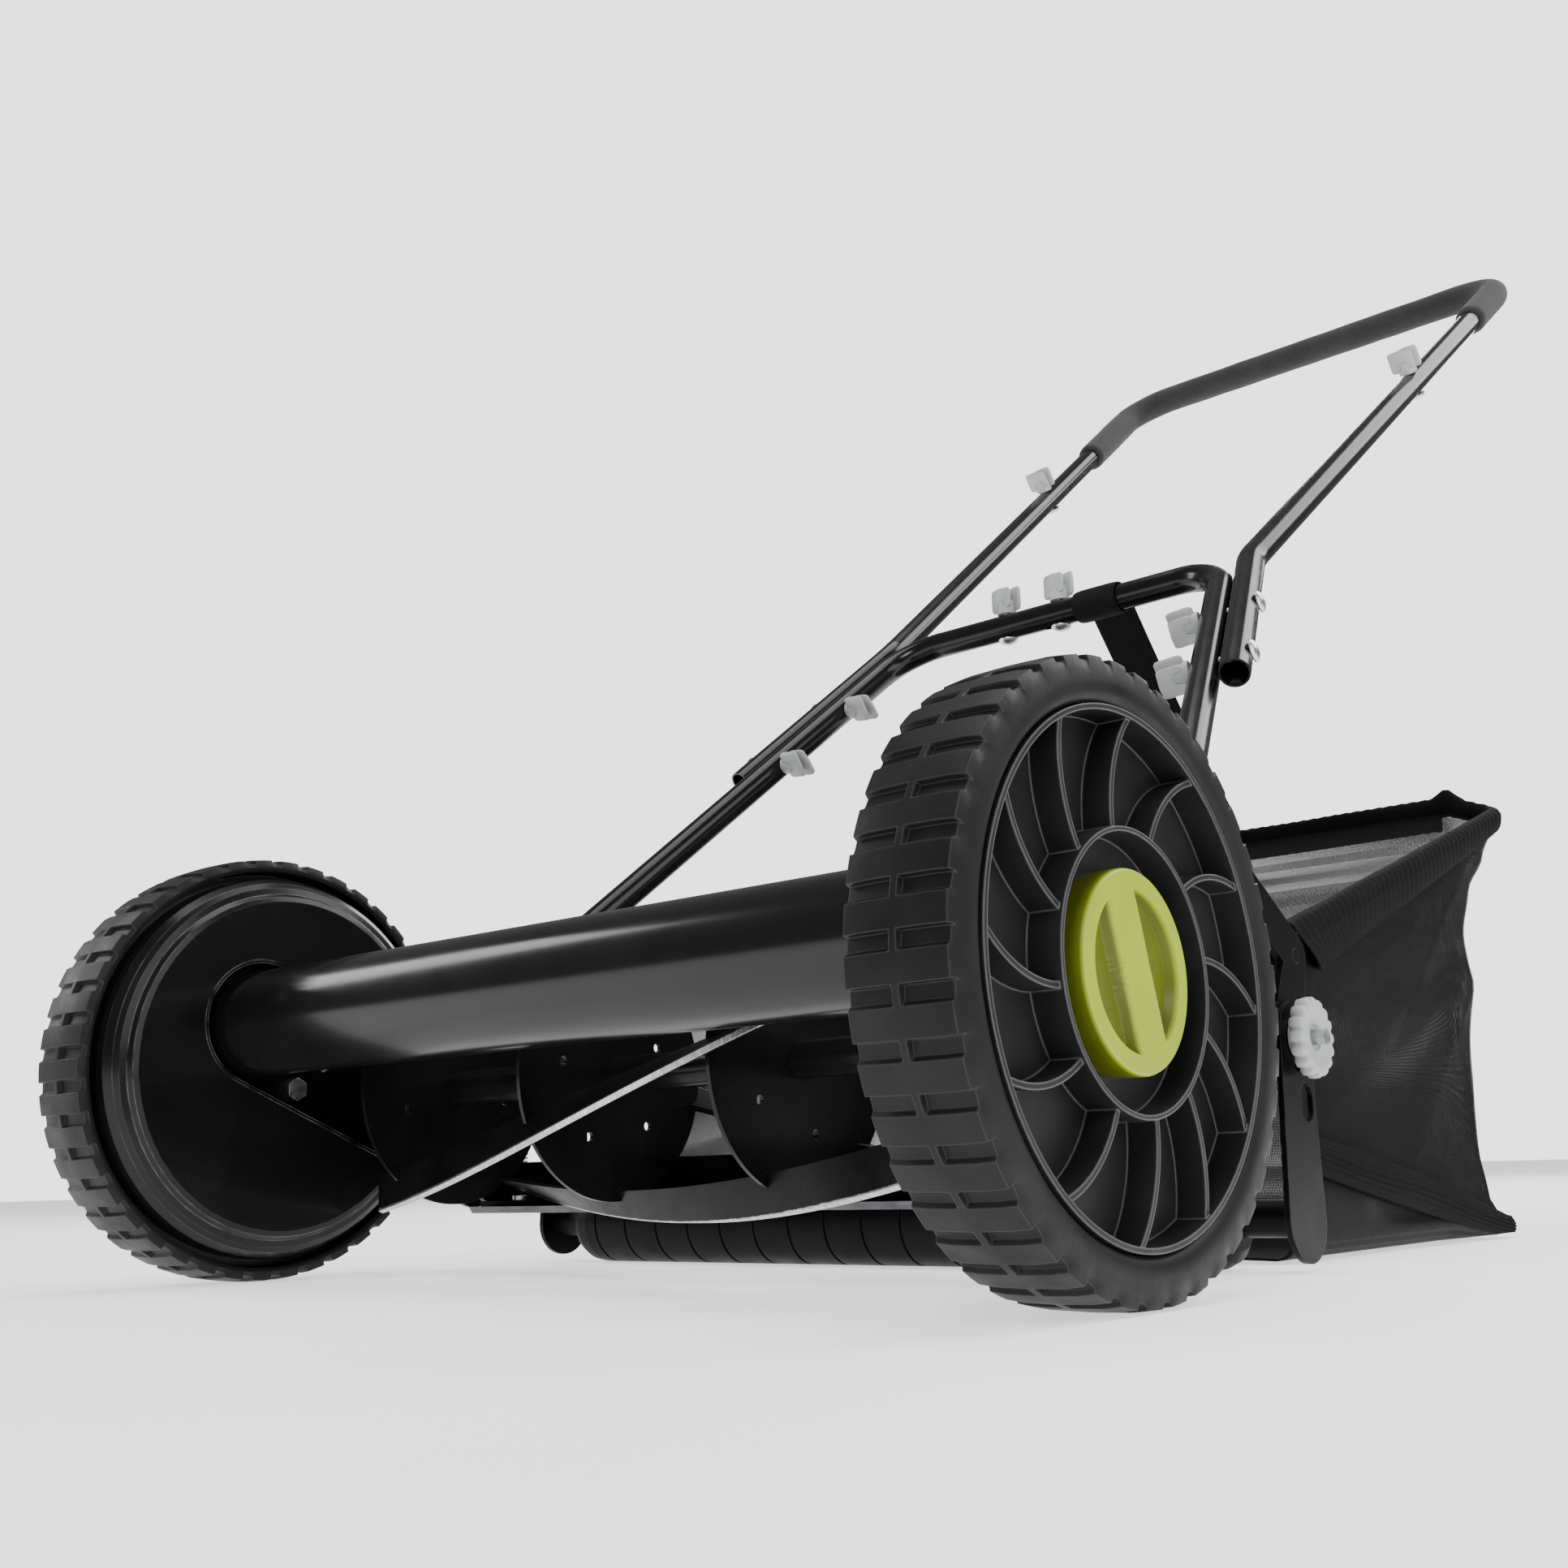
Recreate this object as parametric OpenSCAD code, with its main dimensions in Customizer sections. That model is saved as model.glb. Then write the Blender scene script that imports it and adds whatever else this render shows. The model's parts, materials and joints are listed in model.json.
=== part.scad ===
// Push reel mower with a rear grass bag.
// +Z is up and the floor is z = 0. The front of the mower faces -Y and the grip is at +Y.
// "left" is the operator's left hand, which is +X. The origin is under the middle of the whole mower.

/* [Wheels] */
// Diameter over the tread
wheel_d = 254; // [250:1:258]
// Distance from the mower's middle to the outer edge of a tread
wheel_out = 317; // [317:0.5:320]
// Width of a tread
tread_w = 46; // [44:1:46]
// Radius of the rim's outer lip
lip_r = 106; // [104:0.5:107]
// Number of curved ribs in a wheel
rib_count = 12; // [8:1:14]
// Radius of the round hub cap
cap_r = 40.5; // [30:0.5:46]

/* [Reel and drive] */
// Length of the cutting blades
blade_len = 472; // [440:2:476]
// Radius of the cutting edges
cut_r = 81.5; // [78:0.5:81.5]
// Radius of the round spider plates that carry the blades
spider_r = 70; // [60:1:71]
// Distance between the spider plates
spider_pitch = 140; // [120:2:150]
// Number of blades
blade_count = 5; // [4:1:6]
// Turn of a blade along one metre of reel, in degrees
blade_twist = 207; // [150:1:240]
// Gear module
gear_m = 2; // [2:0.5:2]
// Teeth in the ring gear inside a wheel
ring_teeth = 104; // [104:1:104]
// Teeth on the pinion on each end of the reel
pinion_teeth = 14; // [14:1:14]

/* [Frame] */
// Radius of the big front tube
front_tube_r = 31; // [28:0.5:31]
// Distance from the mower's middle to the inner face of a side plate
plate_in = 266; // [264:0.5:267]
// Thickness of a side plate
plate_t = 4; // [3:0.5:4]
// Outer radius of the dished covers behind the wheels
cover_r = 114; // [110:0.5:115]

/* [Roller] */
// Radius of the rear roller
roller_r = 26; // [20:0.5:26]
// Half of the roller's length
roller_half = 238; // [220:1:240]
// Lift of the roller between the highest and the lowest cut
roller_lift = 12; // [6:1:12]
// Radius of the star knobs
knob_r = 20.5; // [16:0.5:21]

/* [Handle] */
// Distance from the wheel axle back to the middle of the grip
grip_back = 1057; // [980:1:1080]
// Height of the middle of the grip
grip_z = 903; // [860:1:920]
// Outer diameter of the handle tubes
tube_d = 20; // [20:0.5:20]
// Wall of the handle tubes
tube_wall = 1.4; // [1.2:0.1:1.5]
// Diameter over the foam grip
foam_d = 28; // [26:1:34]

/* [Grass bag] */
// Half of the bag's width
bag_half = 240; // [230:1:242]
// Thickness of the bag's cloth walls
cloth_t = 2.4; // [1.5:0.1:3]
// Width of the strap
strap_w = 36; // [25:1:40]

/* [Hidden] */
$fn = 96;
small = 0.01;

// Places in the side view are [y, z]. They are given from the wheel axle, on the floor.
wheel_r = wheel_d / 2;
foam_r = foam_d / 2;
axle_y = (wheel_r - grip_back - foam_r) / 2;
function at(y, z) = [y + axle_y, z];
function pt(x, y, z) = [x, y + axle_y, z];
function unit(v) = v / norm(v);
function mirror_x(p) = [-p[0], p[1], p[2]];

axle_p = at(0, wheel_r);
tube_p = at(-20, 150);
gear_gap = gear_m * (ring_teeth - pinion_teeth) / 2;
reel_dir = -10;
reel_p = axle_p + gear_gap * [cos(reel_dir), sin(reel_dir)];
knife_p = at(150, 54);
handle_p = at(158, 174);
stop_p = at(202, 192);
bag_p = at(256, 158);
knob_p = at(238, 114);
roller_p = at(232, roller_r);
adjust_p = at(174, 0);
adjust_x = 250;
plate_out = plate_in + plate_t;

// ---------- helpers ----------

// Copies on both sides, or the right-hand copy of a left-hand piece
module on_right() mirror([1, 0, 0]) children();
module both_sides() { children(); on_right() children(); }

// A body turned about an axis along X through p; its section is drawn as [radius, x]
module turned(p) translate([0, p[0], p[1]]) rotate([0, 90, 0]) rotate_extrude() children();

// A plate from x0 to x1 whose outline is drawn in the side view as [y, z]
module plate_x(x0, x1)
    multmatrix([[0, 0, 1, x0], [1, 0, 0, 0], [0, 1, 0, 0], [0, 0, 0, 1]])
        linear_extrude(height = x1 - x0) children();

// A round bar along X
module bar_x(x0, x1, p, r) translate([x0, p[0], p[1]]) rotate([0, 90, 0]) cylinder(h = x1 - x0, r = r);

// Two circles and their common tangents
module link2d(p, rp, q, rq) {
    d = q - p;
    base = atan2(d[1], d[0]);
    a = acos((rp - rq) / norm(d));
    translate(p) circle(r = rp);
    translate(q) circle(r = rq);
    polygon([
        p + rp * [cos(base + a), sin(base + a)], p + rp * [cos(base - a), sin(base - a)],
        q + rq * [cos(base - a), sin(base - a)], q + rq * [cos(base + a), sin(base + a)]
    ]);
}

// A round bar between two points
module rod(p, q, r) {
    d = q - p;
    translate(p) rotate([0, acos(d[2] / norm(d)), atan2(d[1], d[0])]) cylinder(h = norm(d), r = r);
}

// Angle and tangent length of the bend at point i of a path
function bend_angle(path, i) = acos(unit(path[i] - path[i - 1]) * unit(path[i + 1] - path[i]));
function tangent(path, i, bend_r) =
    (i == 0 || i == len(path) - 1) ? 0 : bend_r * tan(bend_angle(path, i) / 2) - lap;

// A bend is drawn this much fatter than the straight bars, and they reach this far into it
bend_grow = 0.12;
lap = 1;

// A round bar along a path, with bends of radius bend_r at its inner points
module bent_bar(path, bend_r, r) {
    for (i = [0 : len(path) - 2]) {
        way = unit(path[i + 1] - path[i]);
        rod(path[i] + way * tangent(path, i, bend_r), path[i + 1] - way * tangent(path, i + 1, bend_r), r);
    }
    for (i = [1 : 1 : len(path) - 2]) {
        way_in = unit(path[i] - path[i - 1]);
        way_out = unit(path[i + 1] - path[i]);
        turn = bend_angle(path, i);
        middle = path[i] + unit(way_out - way_in) * bend_r / cos(turn / 2);
        out = unit(path[i] - way_in * bend_r * tan(turn / 2) - middle);
        axis = unit(cross(way_in, way_out));
        side = cross(axis, out);
        multmatrix([
            [out[0], side[0], axis[0], middle[0]], [out[1], side[1], axis[1], middle[1]],
            [out[2], side[2], axis[2], middle[2]], [0, 0, 0, 1]
        ]) rotate_extrude(angle = turn) translate([bend_r, 0]) circle(r = r + bend_grow, $fn = 48);
    }
}

// ---------- wheels ----------

tread_in = wheel_out - tread_w;
drum_r = 118;
web_x = 299.5;
ring_x = [286.5, web_x];
stud_r = 8;
fit = 0.05;

module tyre() {
    color("#2b2c2e") turned(axle_p) polygon([
        [drum_r, tread_in + 2], [drum_r + 2, tread_in], [wheel_r - 4, tread_in], [wheel_r, tread_in + 4],
        [wheel_r, wheel_out - 4], [wheel_r - 4, wheel_out], [lip_r + 2, wheel_out], [lip_r, wheel_out - 1],
        [lip_r, web_x + 3.5], [drum_r, web_x + 3.5]
    ]);
}

boss_r = 56.9;
hub_r = 20;
bush_r = 11;
rib_t = 2.6;
rib_bend = 62;
rib_sweep = 15;
rib_phase = 9.2;
rib_inner = boss_r - 1;
rib_outer = lip_r - 1.2;

// Middle of the circle through two points, on the left of the way from p to q
function arc_middle(p, q, r) =
    (p + q) / 2 + sqrt(r * r - pow(norm(q - p) / 2, 2)) * unit([p[1] - q[1], q[0] - p[0]]);

module rib2d() {
    middle = arc_middle([rib_inner, 0], rib_outer * [cos(rib_sweep), sin(rib_sweep)], rib_bend);
    intersection() {
        translate(middle) difference() { circle(r = rib_bend + rib_t / 2); circle(r = rib_bend - rib_t / 2); }
        difference() { circle(r = rib_outer); circle(r = rib_inner); }
        polygon([[0, -12], [130, -20], [140 * cos(rib_sweep + 8), 140 * sin(rib_sweep + 8)], [0, 8]]);
    }
}

module rim() {
    color("#3a3b3d") difference() {
        union() {
            turned(axle_p) {
                translate([drum_r - 3.8, 285]) square([3.8, web_x + 3.5 - 285]);
                translate([bush_r, web_x]) square([drum_r - bush_r, 3.5]);
                translate([lip_r - 2.5, web_x]) square([2.5, wheel_out + 0.5 - web_x]);
                translate([boss_r - 2, web_x]) square([2, wheel_out + 1 - web_x]);
                translate([bush_r, 276.5]) square([hub_r - bush_r, 306 - 276.5]);
                translate([bush_r, web_x]) square([boss_r - 2 - bush_r, 4.5]);
            }
            plate_x(web_x + 2, wheel_out - 1) translate(axle_p)
                for (i = [0 : rib_count - 1]) rotate(rib_phase + i * 360 / rib_count) mirror([0, 1]) rib2d();
        }
        for (a = [45 : 90 : 315])
            bar_x(web_x - 1, 308, axle_p + 30 * [cos(a), sin(a)], 3);
    }
}

module hub_cap() {
    color("#b9c926") turned(axle_p) {
        translate([cap_r - 3, web_x + 4.5]) square([3, 10]);
        polygon([[0, 312], [cap_r, 312], [cap_r, 315.5], [cap_r - 2, 317.5], [cap_r - 8, 317.5],
            [cap_r - 10, 315], [0, 315]]);
    }
}

module hub_bush() {
    color("#a89878") turned(axle_p) translate([stud_r + fit, 276.5]) square([bush_r - stud_r - fit, 29.5]);
}

pitch_ring = gear_m * ring_teeth / 2;
pitch_pinion = gear_m * pinion_teeth / 2;

// A gear tooth that points along +X from root radius r0 to tip radius r1, with its widths there
module tooth2d(r0, r1, w0, w1) polygon([[r0, -w0 / 2], [r1, -w1 / 2], [r1, w1 / 2], [r0, w0 / 2]]);

module ring_gear() {
    color("#55575a") union() {
        turned(axle_p) translate([pitch_ring + 2.2, ring_x[0]])
            square([drum_r - 3.8 - pitch_ring - 2.2, ring_x[1] - ring_x[0]]);
        plate_x(ring_x[0], ring_x[1]) translate(axle_p)
            for (i = [0 : ring_teeth - 1]) rotate(reel_dir + (i + 0.5) * 360 / ring_teeth)
                tooth2d(pitch_ring + 2.6, pitch_ring - 1.8, 2.8, 1.4);
    }
}

module axle_studs() {
    color("silver") both_sides() {
        bar_x(plate_out, 308.4, axle_p, stud_r);
        bar_x(plate_out, plate_out + 3, axle_p, 15);
    }
}

module axle_clips() {
    color("#8d9094") both_sides() turned(axle_p) translate([stud_r, 306.4]) square([4, 1.6]);
}

// ---------- side frame ----------

// Outline of a side plate, grown by g
module plate_outline(g = 0) {
    link2d(tube_p, 40 + g, reel_p, 38 + g);
    link2d(reel_p, 38 + g, handle_p, 18 + g);
    link2d(reel_p, 38 + g, knob_p, 17 + g);
    link2d(reel_p, 38 + g, knife_p, 16 + g);
    link2d(handle_p, 18 + g, stop_p, 11 + g);
    link2d(stop_p, 11 + g, bag_p, 12 + g);
    link2d(bag_p, 12 + g, knob_p, 17 + g);
}

pivot_r = 4;
bearing_r = 17;
hole_count = 4;
hole_gap = 18;

module side_plate() {
    color("#1c1d1f") difference() {
        plate_x(plate_in, plate_out) plate_outline();
        for (p = [handle_p, stop_p, bag_p, knob_p]) bar_x(plate_in - 1, plate_out + 1, p, pivot_r);
        bar_x(plate_in - 1, plate_out + 1, knife_p, 5);
        bar_x(plate_in - 1, plate_out + 1, reel_p, bearing_r);
        for (i = [0 : hole_count - 1])
            bar_x(plate_in - 1, plate_out + 1, knob_p - [26 + i * hole_gap, 0], 3.5);
    }
}

module cover_opening(g = 0) link2d(tube_p, 38 + g, reel_p, 46 + g);

module wheel_cover() {
    face = plate_in - 10;
    color("#202123") difference() {
        union() {
            difference() {
                turned(axle_p) polygon([
                    [0, face], [98, face], [101, face + 1], [103, face + 4], [107, face + 5],
                    [110, face + 7], [cover_r - 1, face + 12], [cover_r, face + 16], [cover_r, 281],
                    [cover_r - 2, 281], [cover_r - 2, face + 16.5], [cover_r - 3, face + 13],
                    [108.6, face + 9], [105.8, face + 7], [101.6, face + 6], [99.4, face + 2.6],
                    [97.6, face + 2], [0, face + 2]
                ]);
                plate_x(face - 1, 285) cover_opening();
            }
            intersection() {
                plate_x(face + 0.5, plate_in) difference() { cover_opening(); cover_opening(-2); }
                turned(axle_p) translate([0, face]) polygon([[0, 0], [98, 0], [101, 2], [103, 5],
                    [107, 6], [109, 10.5], [0, 10.5]]);
            }
        }
        plate_x(plate_in - 0.5, 285) plate_outline(1);
    }
}

module cover_nuts() {
    color("silver") both_sides() bar_x(plate_in - 6, plate_in, at(8, 112), 7, $fn = 6);
}

module front_tube() {
    color("#151517") difference() {
        bar_x(-plate_in, plate_in, tube_p, front_tube_r);
        bar_x(-plate_in - 1, plate_in + 1, tube_p, front_tube_r - 2);
    }
}

journal_r = 7.5;

module reel_bearings() {
    color("#77797c") both_sides() turned(reel_p) {
        translate([journal_r + fit, plate_in - 12]) square([bearing_r - journal_r - fit, 20]);
        translate([bearing_r - 1, plate_in - 4]) square([8, 4]);
    }
}

// ---------- bed knife ----------

knife_half = 244;
knife_edge = reel_p + (cut_r + 0.5) * [sin(28), -cos(28)];
knife_top = knife_edge[1] - 0.8;
knife_bottom = knife_top - 3.4;
screw_r = 3;
screw_gap = 110;

module bed_knife() {
    color("#8f9295") difference() {
        plate_x(-knife_half, knife_half) polygon([
            knife_edge, [knife_edge[0] + 3, knife_bottom], [knife_edge[0] + 34, knife_bottom],
            [knife_edge[0] + 34, knife_top], [knife_edge[0] + 8, knife_top],
            [knife_edge[0] + 5, knife_edge[1]]
        ]);
        knife_screw_holes();
    }
}

module knife_screw_holes()
    for (i = [-2 : 2])
        translate([i * screw_gap, knife_edge[0] + 23, 0]) cylinder(h = 60, r = screw_r, $fn = 48);

module knife_bar() {
    color("#26272a") {
        difference() {
            plate_x(-knife_half - 4, knife_half + 4) {
                translate([knife_edge[0] + 13, knife_top]) square([28, 4]);
                translate([knife_edge[0] + 37, knife_top]) square([4, 28]);
            }
            knife_screw_holes();
        }
        both_sides() difference() {
            union() {
                plate_x(knife_half + 4, knife_half + 8) link2d(knife_p, 13, knife_p + [12, -8], 9);
                translate([knife_half, adjust_p[0] - 9, 57]) cube([14, 18, 3]);
            }
            bar_x(knife_half + 3, knife_half + 9, knife_p, 5);
            translate([adjust_x, adjust_p[0], 50]) cylinder(h = 15, r = 3.1, $fn = 48);
        }
    }
}

module adjuster_brackets() {
    color("#1c1d1f") both_sides() difference() {
        plate_x(adjust_x - 8, plate_in) translate(adjust_p + [-10, 84]) square([20, 3]);
        translate([adjust_x, adjust_p[0], 80]) cylinder(h = 10, r = 3.1, $fn = 48);
    }
}

module knife_screws() {
    color("silver") for (i = [-2 : 2]) translate([i * screw_gap, knife_edge[0] + 23, knife_bottom]) {
        cylinder(h = 7.4, r = screw_r, $fn = 48);
        translate([0, 0, 7.4]) cylinder(h = 3, r = 5.5, $fn = 48);
    }
}

module knife_pivots() {
    color("silver") both_sides() {
        bar_x(knife_half + 4, plate_out, knife_p, 5);
        bar_x(knife_half + 8, plate_in, knife_p, 8);
        bar_x(plate_out, plate_out + 4.5, knife_p, 8, $fn = 6);
    }
}

module adjuster_screws() {
    color("silver") both_sides() translate([adjust_x, adjust_p[0], 52]) {
        cylinder(h = 42, r = screw_r, $fn = 48);
        translate([0, 0, 35]) cylinder(h = 6, r = 6.5, $fn = 6);
        cylinder(h = 4.9, r = 5, $fn = 6);
    }
}

module adjuster_springs() {
    color("#c9ccd0") both_sides() translate([adjust_x, adjust_p[0], 60]) difference() {
        cylinder(h = 24, r = 6.2, $fn = 48);
        translate([0, 0, -1]) cylinder(h = 26, r = 4.4, $fn = 48);
    }
}

// ---------- fixed pins and studs ----------

tab_x = [242, 250];

module handle_pivots() {
    color("silver") both_sides() {
        bar_x(tab_x[0] - 6, plate_out + 2, handle_p, pivot_r);
        bar_x(tab_x[0] - 6, tab_x[0] - 0.4, handle_p, 7.5, $fn = 6);
        bar_x(plate_out, plate_out + 3, handle_p, 8);
    }
}

module handle_spacers() {
    color("#9a9da1") both_sides() turned(handle_p)
        translate([pivot_r, tab_x[1] + 0.4]) square([4.5, plate_in - tab_x[1] - 0.4]);
}

module handle_stops() {
    color("silver") both_sides() bar_x(222, plate_out, stop_p, pivot_r);
}

module knob_studs() {
    color("silver") both_sides() {
        bar_x(plate_in - 3, 290, knob_p, pivot_r);
        bar_x(plate_in - 3, plate_in, knob_p, 9);
    }
}

eye_x = [243.6, 249.6];

module bag_pins() {
    color("silver") both_sides() {
        bar_x(eye_x[0] - 3.6, plate_out, bag_p, pivot_r);
        bar_x(eye_x[0] - 3.6, eye_x[0] - 1.2, bag_p, 7);
        bar_x(eye_x[1] + 0.5, plate_in, bag_p, 6.5);
    }
}

// ---------- reel ----------

shaft_r = 10;
end_r = 6;
blade_phase = -165;
blade_turn = blade_len * blade_twist / 1000;
spider_t = 2.5;
pocket_r = 8.4;
blade_t = 3;

// Section of the blade at angle 0, grown by g
module blade2d(g = 0) {
    polygon([[cut_r + g, 2], [cut_r + g, -1.2 - g], [63 - g, -11 - g], [63 - g, -11 + blade_t + g],
        [cut_r - 2, 2 + g]]);
}

module reel_shaft() {
    color("#9fa2a6") {
        bar_x(-plate_in + 12.5, plate_in - 12.5, reel_p, shaft_r);
        both_sides() difference() {
            union() {
                bar_x(plate_in - 12.5, 275, reel_p, journal_r);
                bar_x(275, 297, reel_p, end_r);
            }
            translate([292.5, reel_p[0], reel_p[1]]) cube([5.2, 4.2, 30], center = true);
        }
    }
}

module reel_spiders() {
    color("#17181a") for (i = [-1.5 : 1.5])
        plate_x(i * spider_pitch - spider_t / 2, i * spider_pitch + spider_t / 2)
            translate(reel_p) difference() {
                circle(r = spider_r);
                circle(r = shaft_r);
                for (k = [0 : blade_count - 1]) {
                    turn = blade_phase + k * 360 / blade_count - i * spider_pitch * blade_twist / 1000;
                    rotate(turn) blade2d(0.5);
                    rotate(turn + 32) translate([39, 0]) circle(r = 2.6);
                }
            }
}

module reel_blades() {
    color("#2a2b2e") translate([-blade_len / 2, reel_p[0], reel_p[1]])
        multmatrix([[0, 0, 1, 0], [1, 0, 0, 0], [0, 1, 0, 0], [0, 0, 0, 1]])
            for (k = [0 : blade_count - 1])
                linear_extrude(height = blade_len, twist = blade_turn, slices = 40, segments = 1)
                    rotate(blade_phase + k * 360 / blade_count + blade_turn / 2) blade2d();
}

module pinion() {
    color("#8a8c8f") translate([0, reel_p[0], reel_p[1]]) difference() {
        union() {
            plate_x(287, 298) {
                circle(r = pitch_pinion - 2.5);
                for (i = [0 : pinion_teeth - 1]) rotate(reel_dir + i * 360 / pinion_teeth)
                    tooth2d(pitch_pinion - 3, pitch_pinion + 1.7, 3, 1.3);
            }
            bar_x(277, 287, [0, 0], 9);
        }
        bar_x(276, 299, [0, 0], end_r);
        plate_x(289.5, 295.5) {
            circle(r = pocket_r);
            for (a = [30 : 60 : 330]) rotate(a) translate([pocket_r - 1, -2.2]) square([2.4, 4.4]);
        }
    }
}

module pinion_pawls() {
    color("#b0b3b6") both_sides() translate([290, reel_p[0] - 2, reel_p[1] - 7.6]) cube([5, 4, 17]);
}

// ---------- rear roller and its height adjustment ----------

arm_x = [plate_out + 0.4, plate_out + 3.4];
roller_axle_r = 6;

module roller_arm() {
    color("#232427") plate_x(arm_x[0], arm_x[1]) difference() {
        link2d(knob_p + [0, 2], 17, roller_p + [2, -1], 21);
        link2d(knob_p, pivot_r + 0.3, knob_p - [0, roller_lift], pivot_r + 0.3);
        link2d(at(245, 79.5), 7, at(245, 85), 7);
        translate(roller_p) circle(r = roller_axle_r);
    }
}

module roller_axle() {
    color("#202123") bar_x(-arm_x[1], arm_x[1], roller_p, roller_axle_r);
}

module roller_spacers() {
    color("#2a2b2d") both_sides() turned(roller_p)
        translate([roller_axle_r, roller_half + 1]) square([3.5, arm_x[0] - roller_half - 1]);
}

ring_gap = 28;

module roller() {
    color("#1a1a1b") turned(roller_p) difference() {
        polygon([
            [roller_axle_r + fit, -roller_half], [16, -roller_half], [22, -roller_half + 4],
            [25, -roller_half + 10], [roller_r, -roller_half + 18], [roller_r, roller_half - 18],
            [25, roller_half - 10], [22, roller_half - 4], [16, roller_half],
            [roller_axle_r + fit, roller_half]
        ]);
        for (i = [-7.5 : 7.5]) translate([roller_r - 1.2, i * ring_gap - 1]) square([3, 2]);
    }
}

module star_knob() {
    color("#c4c6c8") difference() {
        union() {
            bar_x(arm_x[1] + 0.4, 280, knob_p, 10);
            plate_x(279, 286) translate(knob_p) {
                circle(r = knob_r - 1.8);
                for (a = [0 : 30 : 330]) rotate(a) translate([knob_r - 3, 0]) circle(r = 3, $fn = 32);
            }
        }
        bar_x(arm_x[1], 287, knob_p, pivot_r + fit);
    }
}

// ---------- handle ----------

tube_r = tube_d / 2;
bore_r = tube_r - tube_wall;
plug_r = bore_r - 0.2;
neck_r = bore_r + 0.7;
waist_bend = 45;
pivot_3d = [246, handle_p[0], handle_p[1]];
waist = pt(141, 492, 468);
low_way = unit(waist - pivot_3d);
low_len = norm(waist - pivot_3d);
// Sideways step from the lower tube to the tube bolted beside it
step = (tube_d + 0.3) * unit([1, 0, 0] - low_way[0] * low_way);
waist_bolts = [low_len - 167, low_len - 87];
mid_start = waist_bolts[0] - 25;
grip_corner = pt(205, grip_back, grip_z);
mid_bend = waist + step;
up_way = unit(grip_corner - mid_bend);
up_len = norm(grip_corner - mid_bend);
seam = 373;
// Foam left on each leg: the sleeve sits a little to the right
foam_leg = [130, 180];
cross_seam = -64;
cross_bolts = [-43, 5];
cross_z = waist[2];
bolt_r = 3;

// A point on the left lower tube's axis, and one on the left upper tube's axis
function low_at(s) = pivot_3d + low_way * s;
function up_at(s) = mid_bend + up_way * s;
up_normal = unit(cross([1, 0, 0], up_way));
up_bolt = up_at(seam + 22);

module waist_bolt_holes() for (s = waist_bolts) rod(low_at(s) - step, low_at(s) + 2 * step, bolt_r);

// Flattened lower end with its pivot hole, in the plane of the side plates
module pivot_tab() {
    way = [low_way[1], low_way[2]];
    difference() {
        plate_x(tab_x[0], tab_x[1]) link2d(handle_p, 13, handle_p + 26 * way, 11);
        bar_x(tab_x[0] - 1, tab_x[1] + 1, handle_p, pivot_r + fit);
    }
}

module lower_tube_shape(path) {
    pivot_tab();
    difference() {
        bent_bar(path, waist_bend, tube_r);
        bent_bar(path, waist_bend, bore_r);
        waist_bolt_holes();
        for (x = cross_bolts) for (s = [-1, 1])
            translate([s * x, waist[1], cross_z - 15]) cylinder(h = 30, r = bolt_r, $fn = 48);
    }
}

module lower_tube_left() color("#1b1c1e")
    lower_tube_shape([low_at(24), waist, [cross_seam, waist[1], cross_z]]);

module lower_tube_right() color("#1b1c1e") on_right() {
    lower_tube_shape([low_at(24), waist, [-cross_seam, waist[1], cross_z]]);
    difference() {
        union() {
            bar_x(-20, -cross_seam + 2, [waist[1], cross_z], plug_r);
            bar_x(-cross_seam, -cross_seam + 2, [waist[1], cross_z], neck_r);
        }
        bar_x(-21, -cross_seam + 3, [waist[1], cross_z], plug_r - tube_wall);
        for (x = cross_bolts) translate([-x, waist[1], cross_z - 15]) cylinder(h = 30, r = bolt_r, $fn = 48);
    }
}

module mid_tube() {
    path = [low_at(mid_start) + step, mid_bend, up_at(seam)];
    color("#1b1c1e") difference() {
        bent_bar(path, 60, tube_r);
        bent_bar(path, 60, bore_r);
        waist_bolt_holes();
    }
    color("#1b1c1e") difference() {
        union() {
            rod(up_at(seam - 2), up_at(seam + 45), plug_r);
            rod(up_at(seam - 2), up_at(seam), neck_r);
        }
        rod(up_at(seam - 3), up_at(seam + 46), plug_r - tube_wall);
        rod(up_bolt - 15 * up_normal, up_bolt + 15 * up_normal, bolt_r);
    }
}

grip_bend = 46;
upper_path = [up_at(seam), grip_corner, mirror_x(grip_corner), mirror_x(up_at(seam))];
foam_path = [
    up_at(up_len - foam_leg[0]), grip_corner, mirror_x(grip_corner), mirror_x(up_at(up_len - foam_leg[1]))
];

module upper_handle() {
    color("#1b1c1e") difference() {
        bent_bar(upper_path, grip_bend, tube_r);
        bent_bar(upper_path, grip_bend, bore_r);
        both_sides() rod(up_bolt - 15 * up_normal, up_bolt + 15 * up_normal, bolt_r);
    }
}

module foam_grip() {
    color("#2f3032") difference() {
        bent_bar(foam_path, grip_bend, foam_r);
        bent_bar(foam_path, grip_bend, tube_r);
    }
}

// A domed bolt from head to nut side: way is the unit direction from the head to the nut
module dome_bolt(middle, way, half) {
    rod(middle - way * (half + 2), middle + way * (half + 6), bolt_r);
    rod(middle - way * (half + 3), middle - way * half, 7);
}

// A wing nut on its seat at base: way points off the seat, across along the wings
module wing_nut(base, way, across) {
    side = cross(way, across);
    difference() {
        union() {
            rod(base, base + way * 7, 7);
            multmatrix([
                [across[0], side[0], way[0], base[0]], [across[1], side[1], way[1], base[1]],
                [across[2], side[2], way[2], base[2]], [0, 0, 0, 1]
            ]) translate([-12, -3, 5]) cube([24, 6, 17]);
        }
        rod(base - way, base + way * 12, bolt_r);
    }
}

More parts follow.
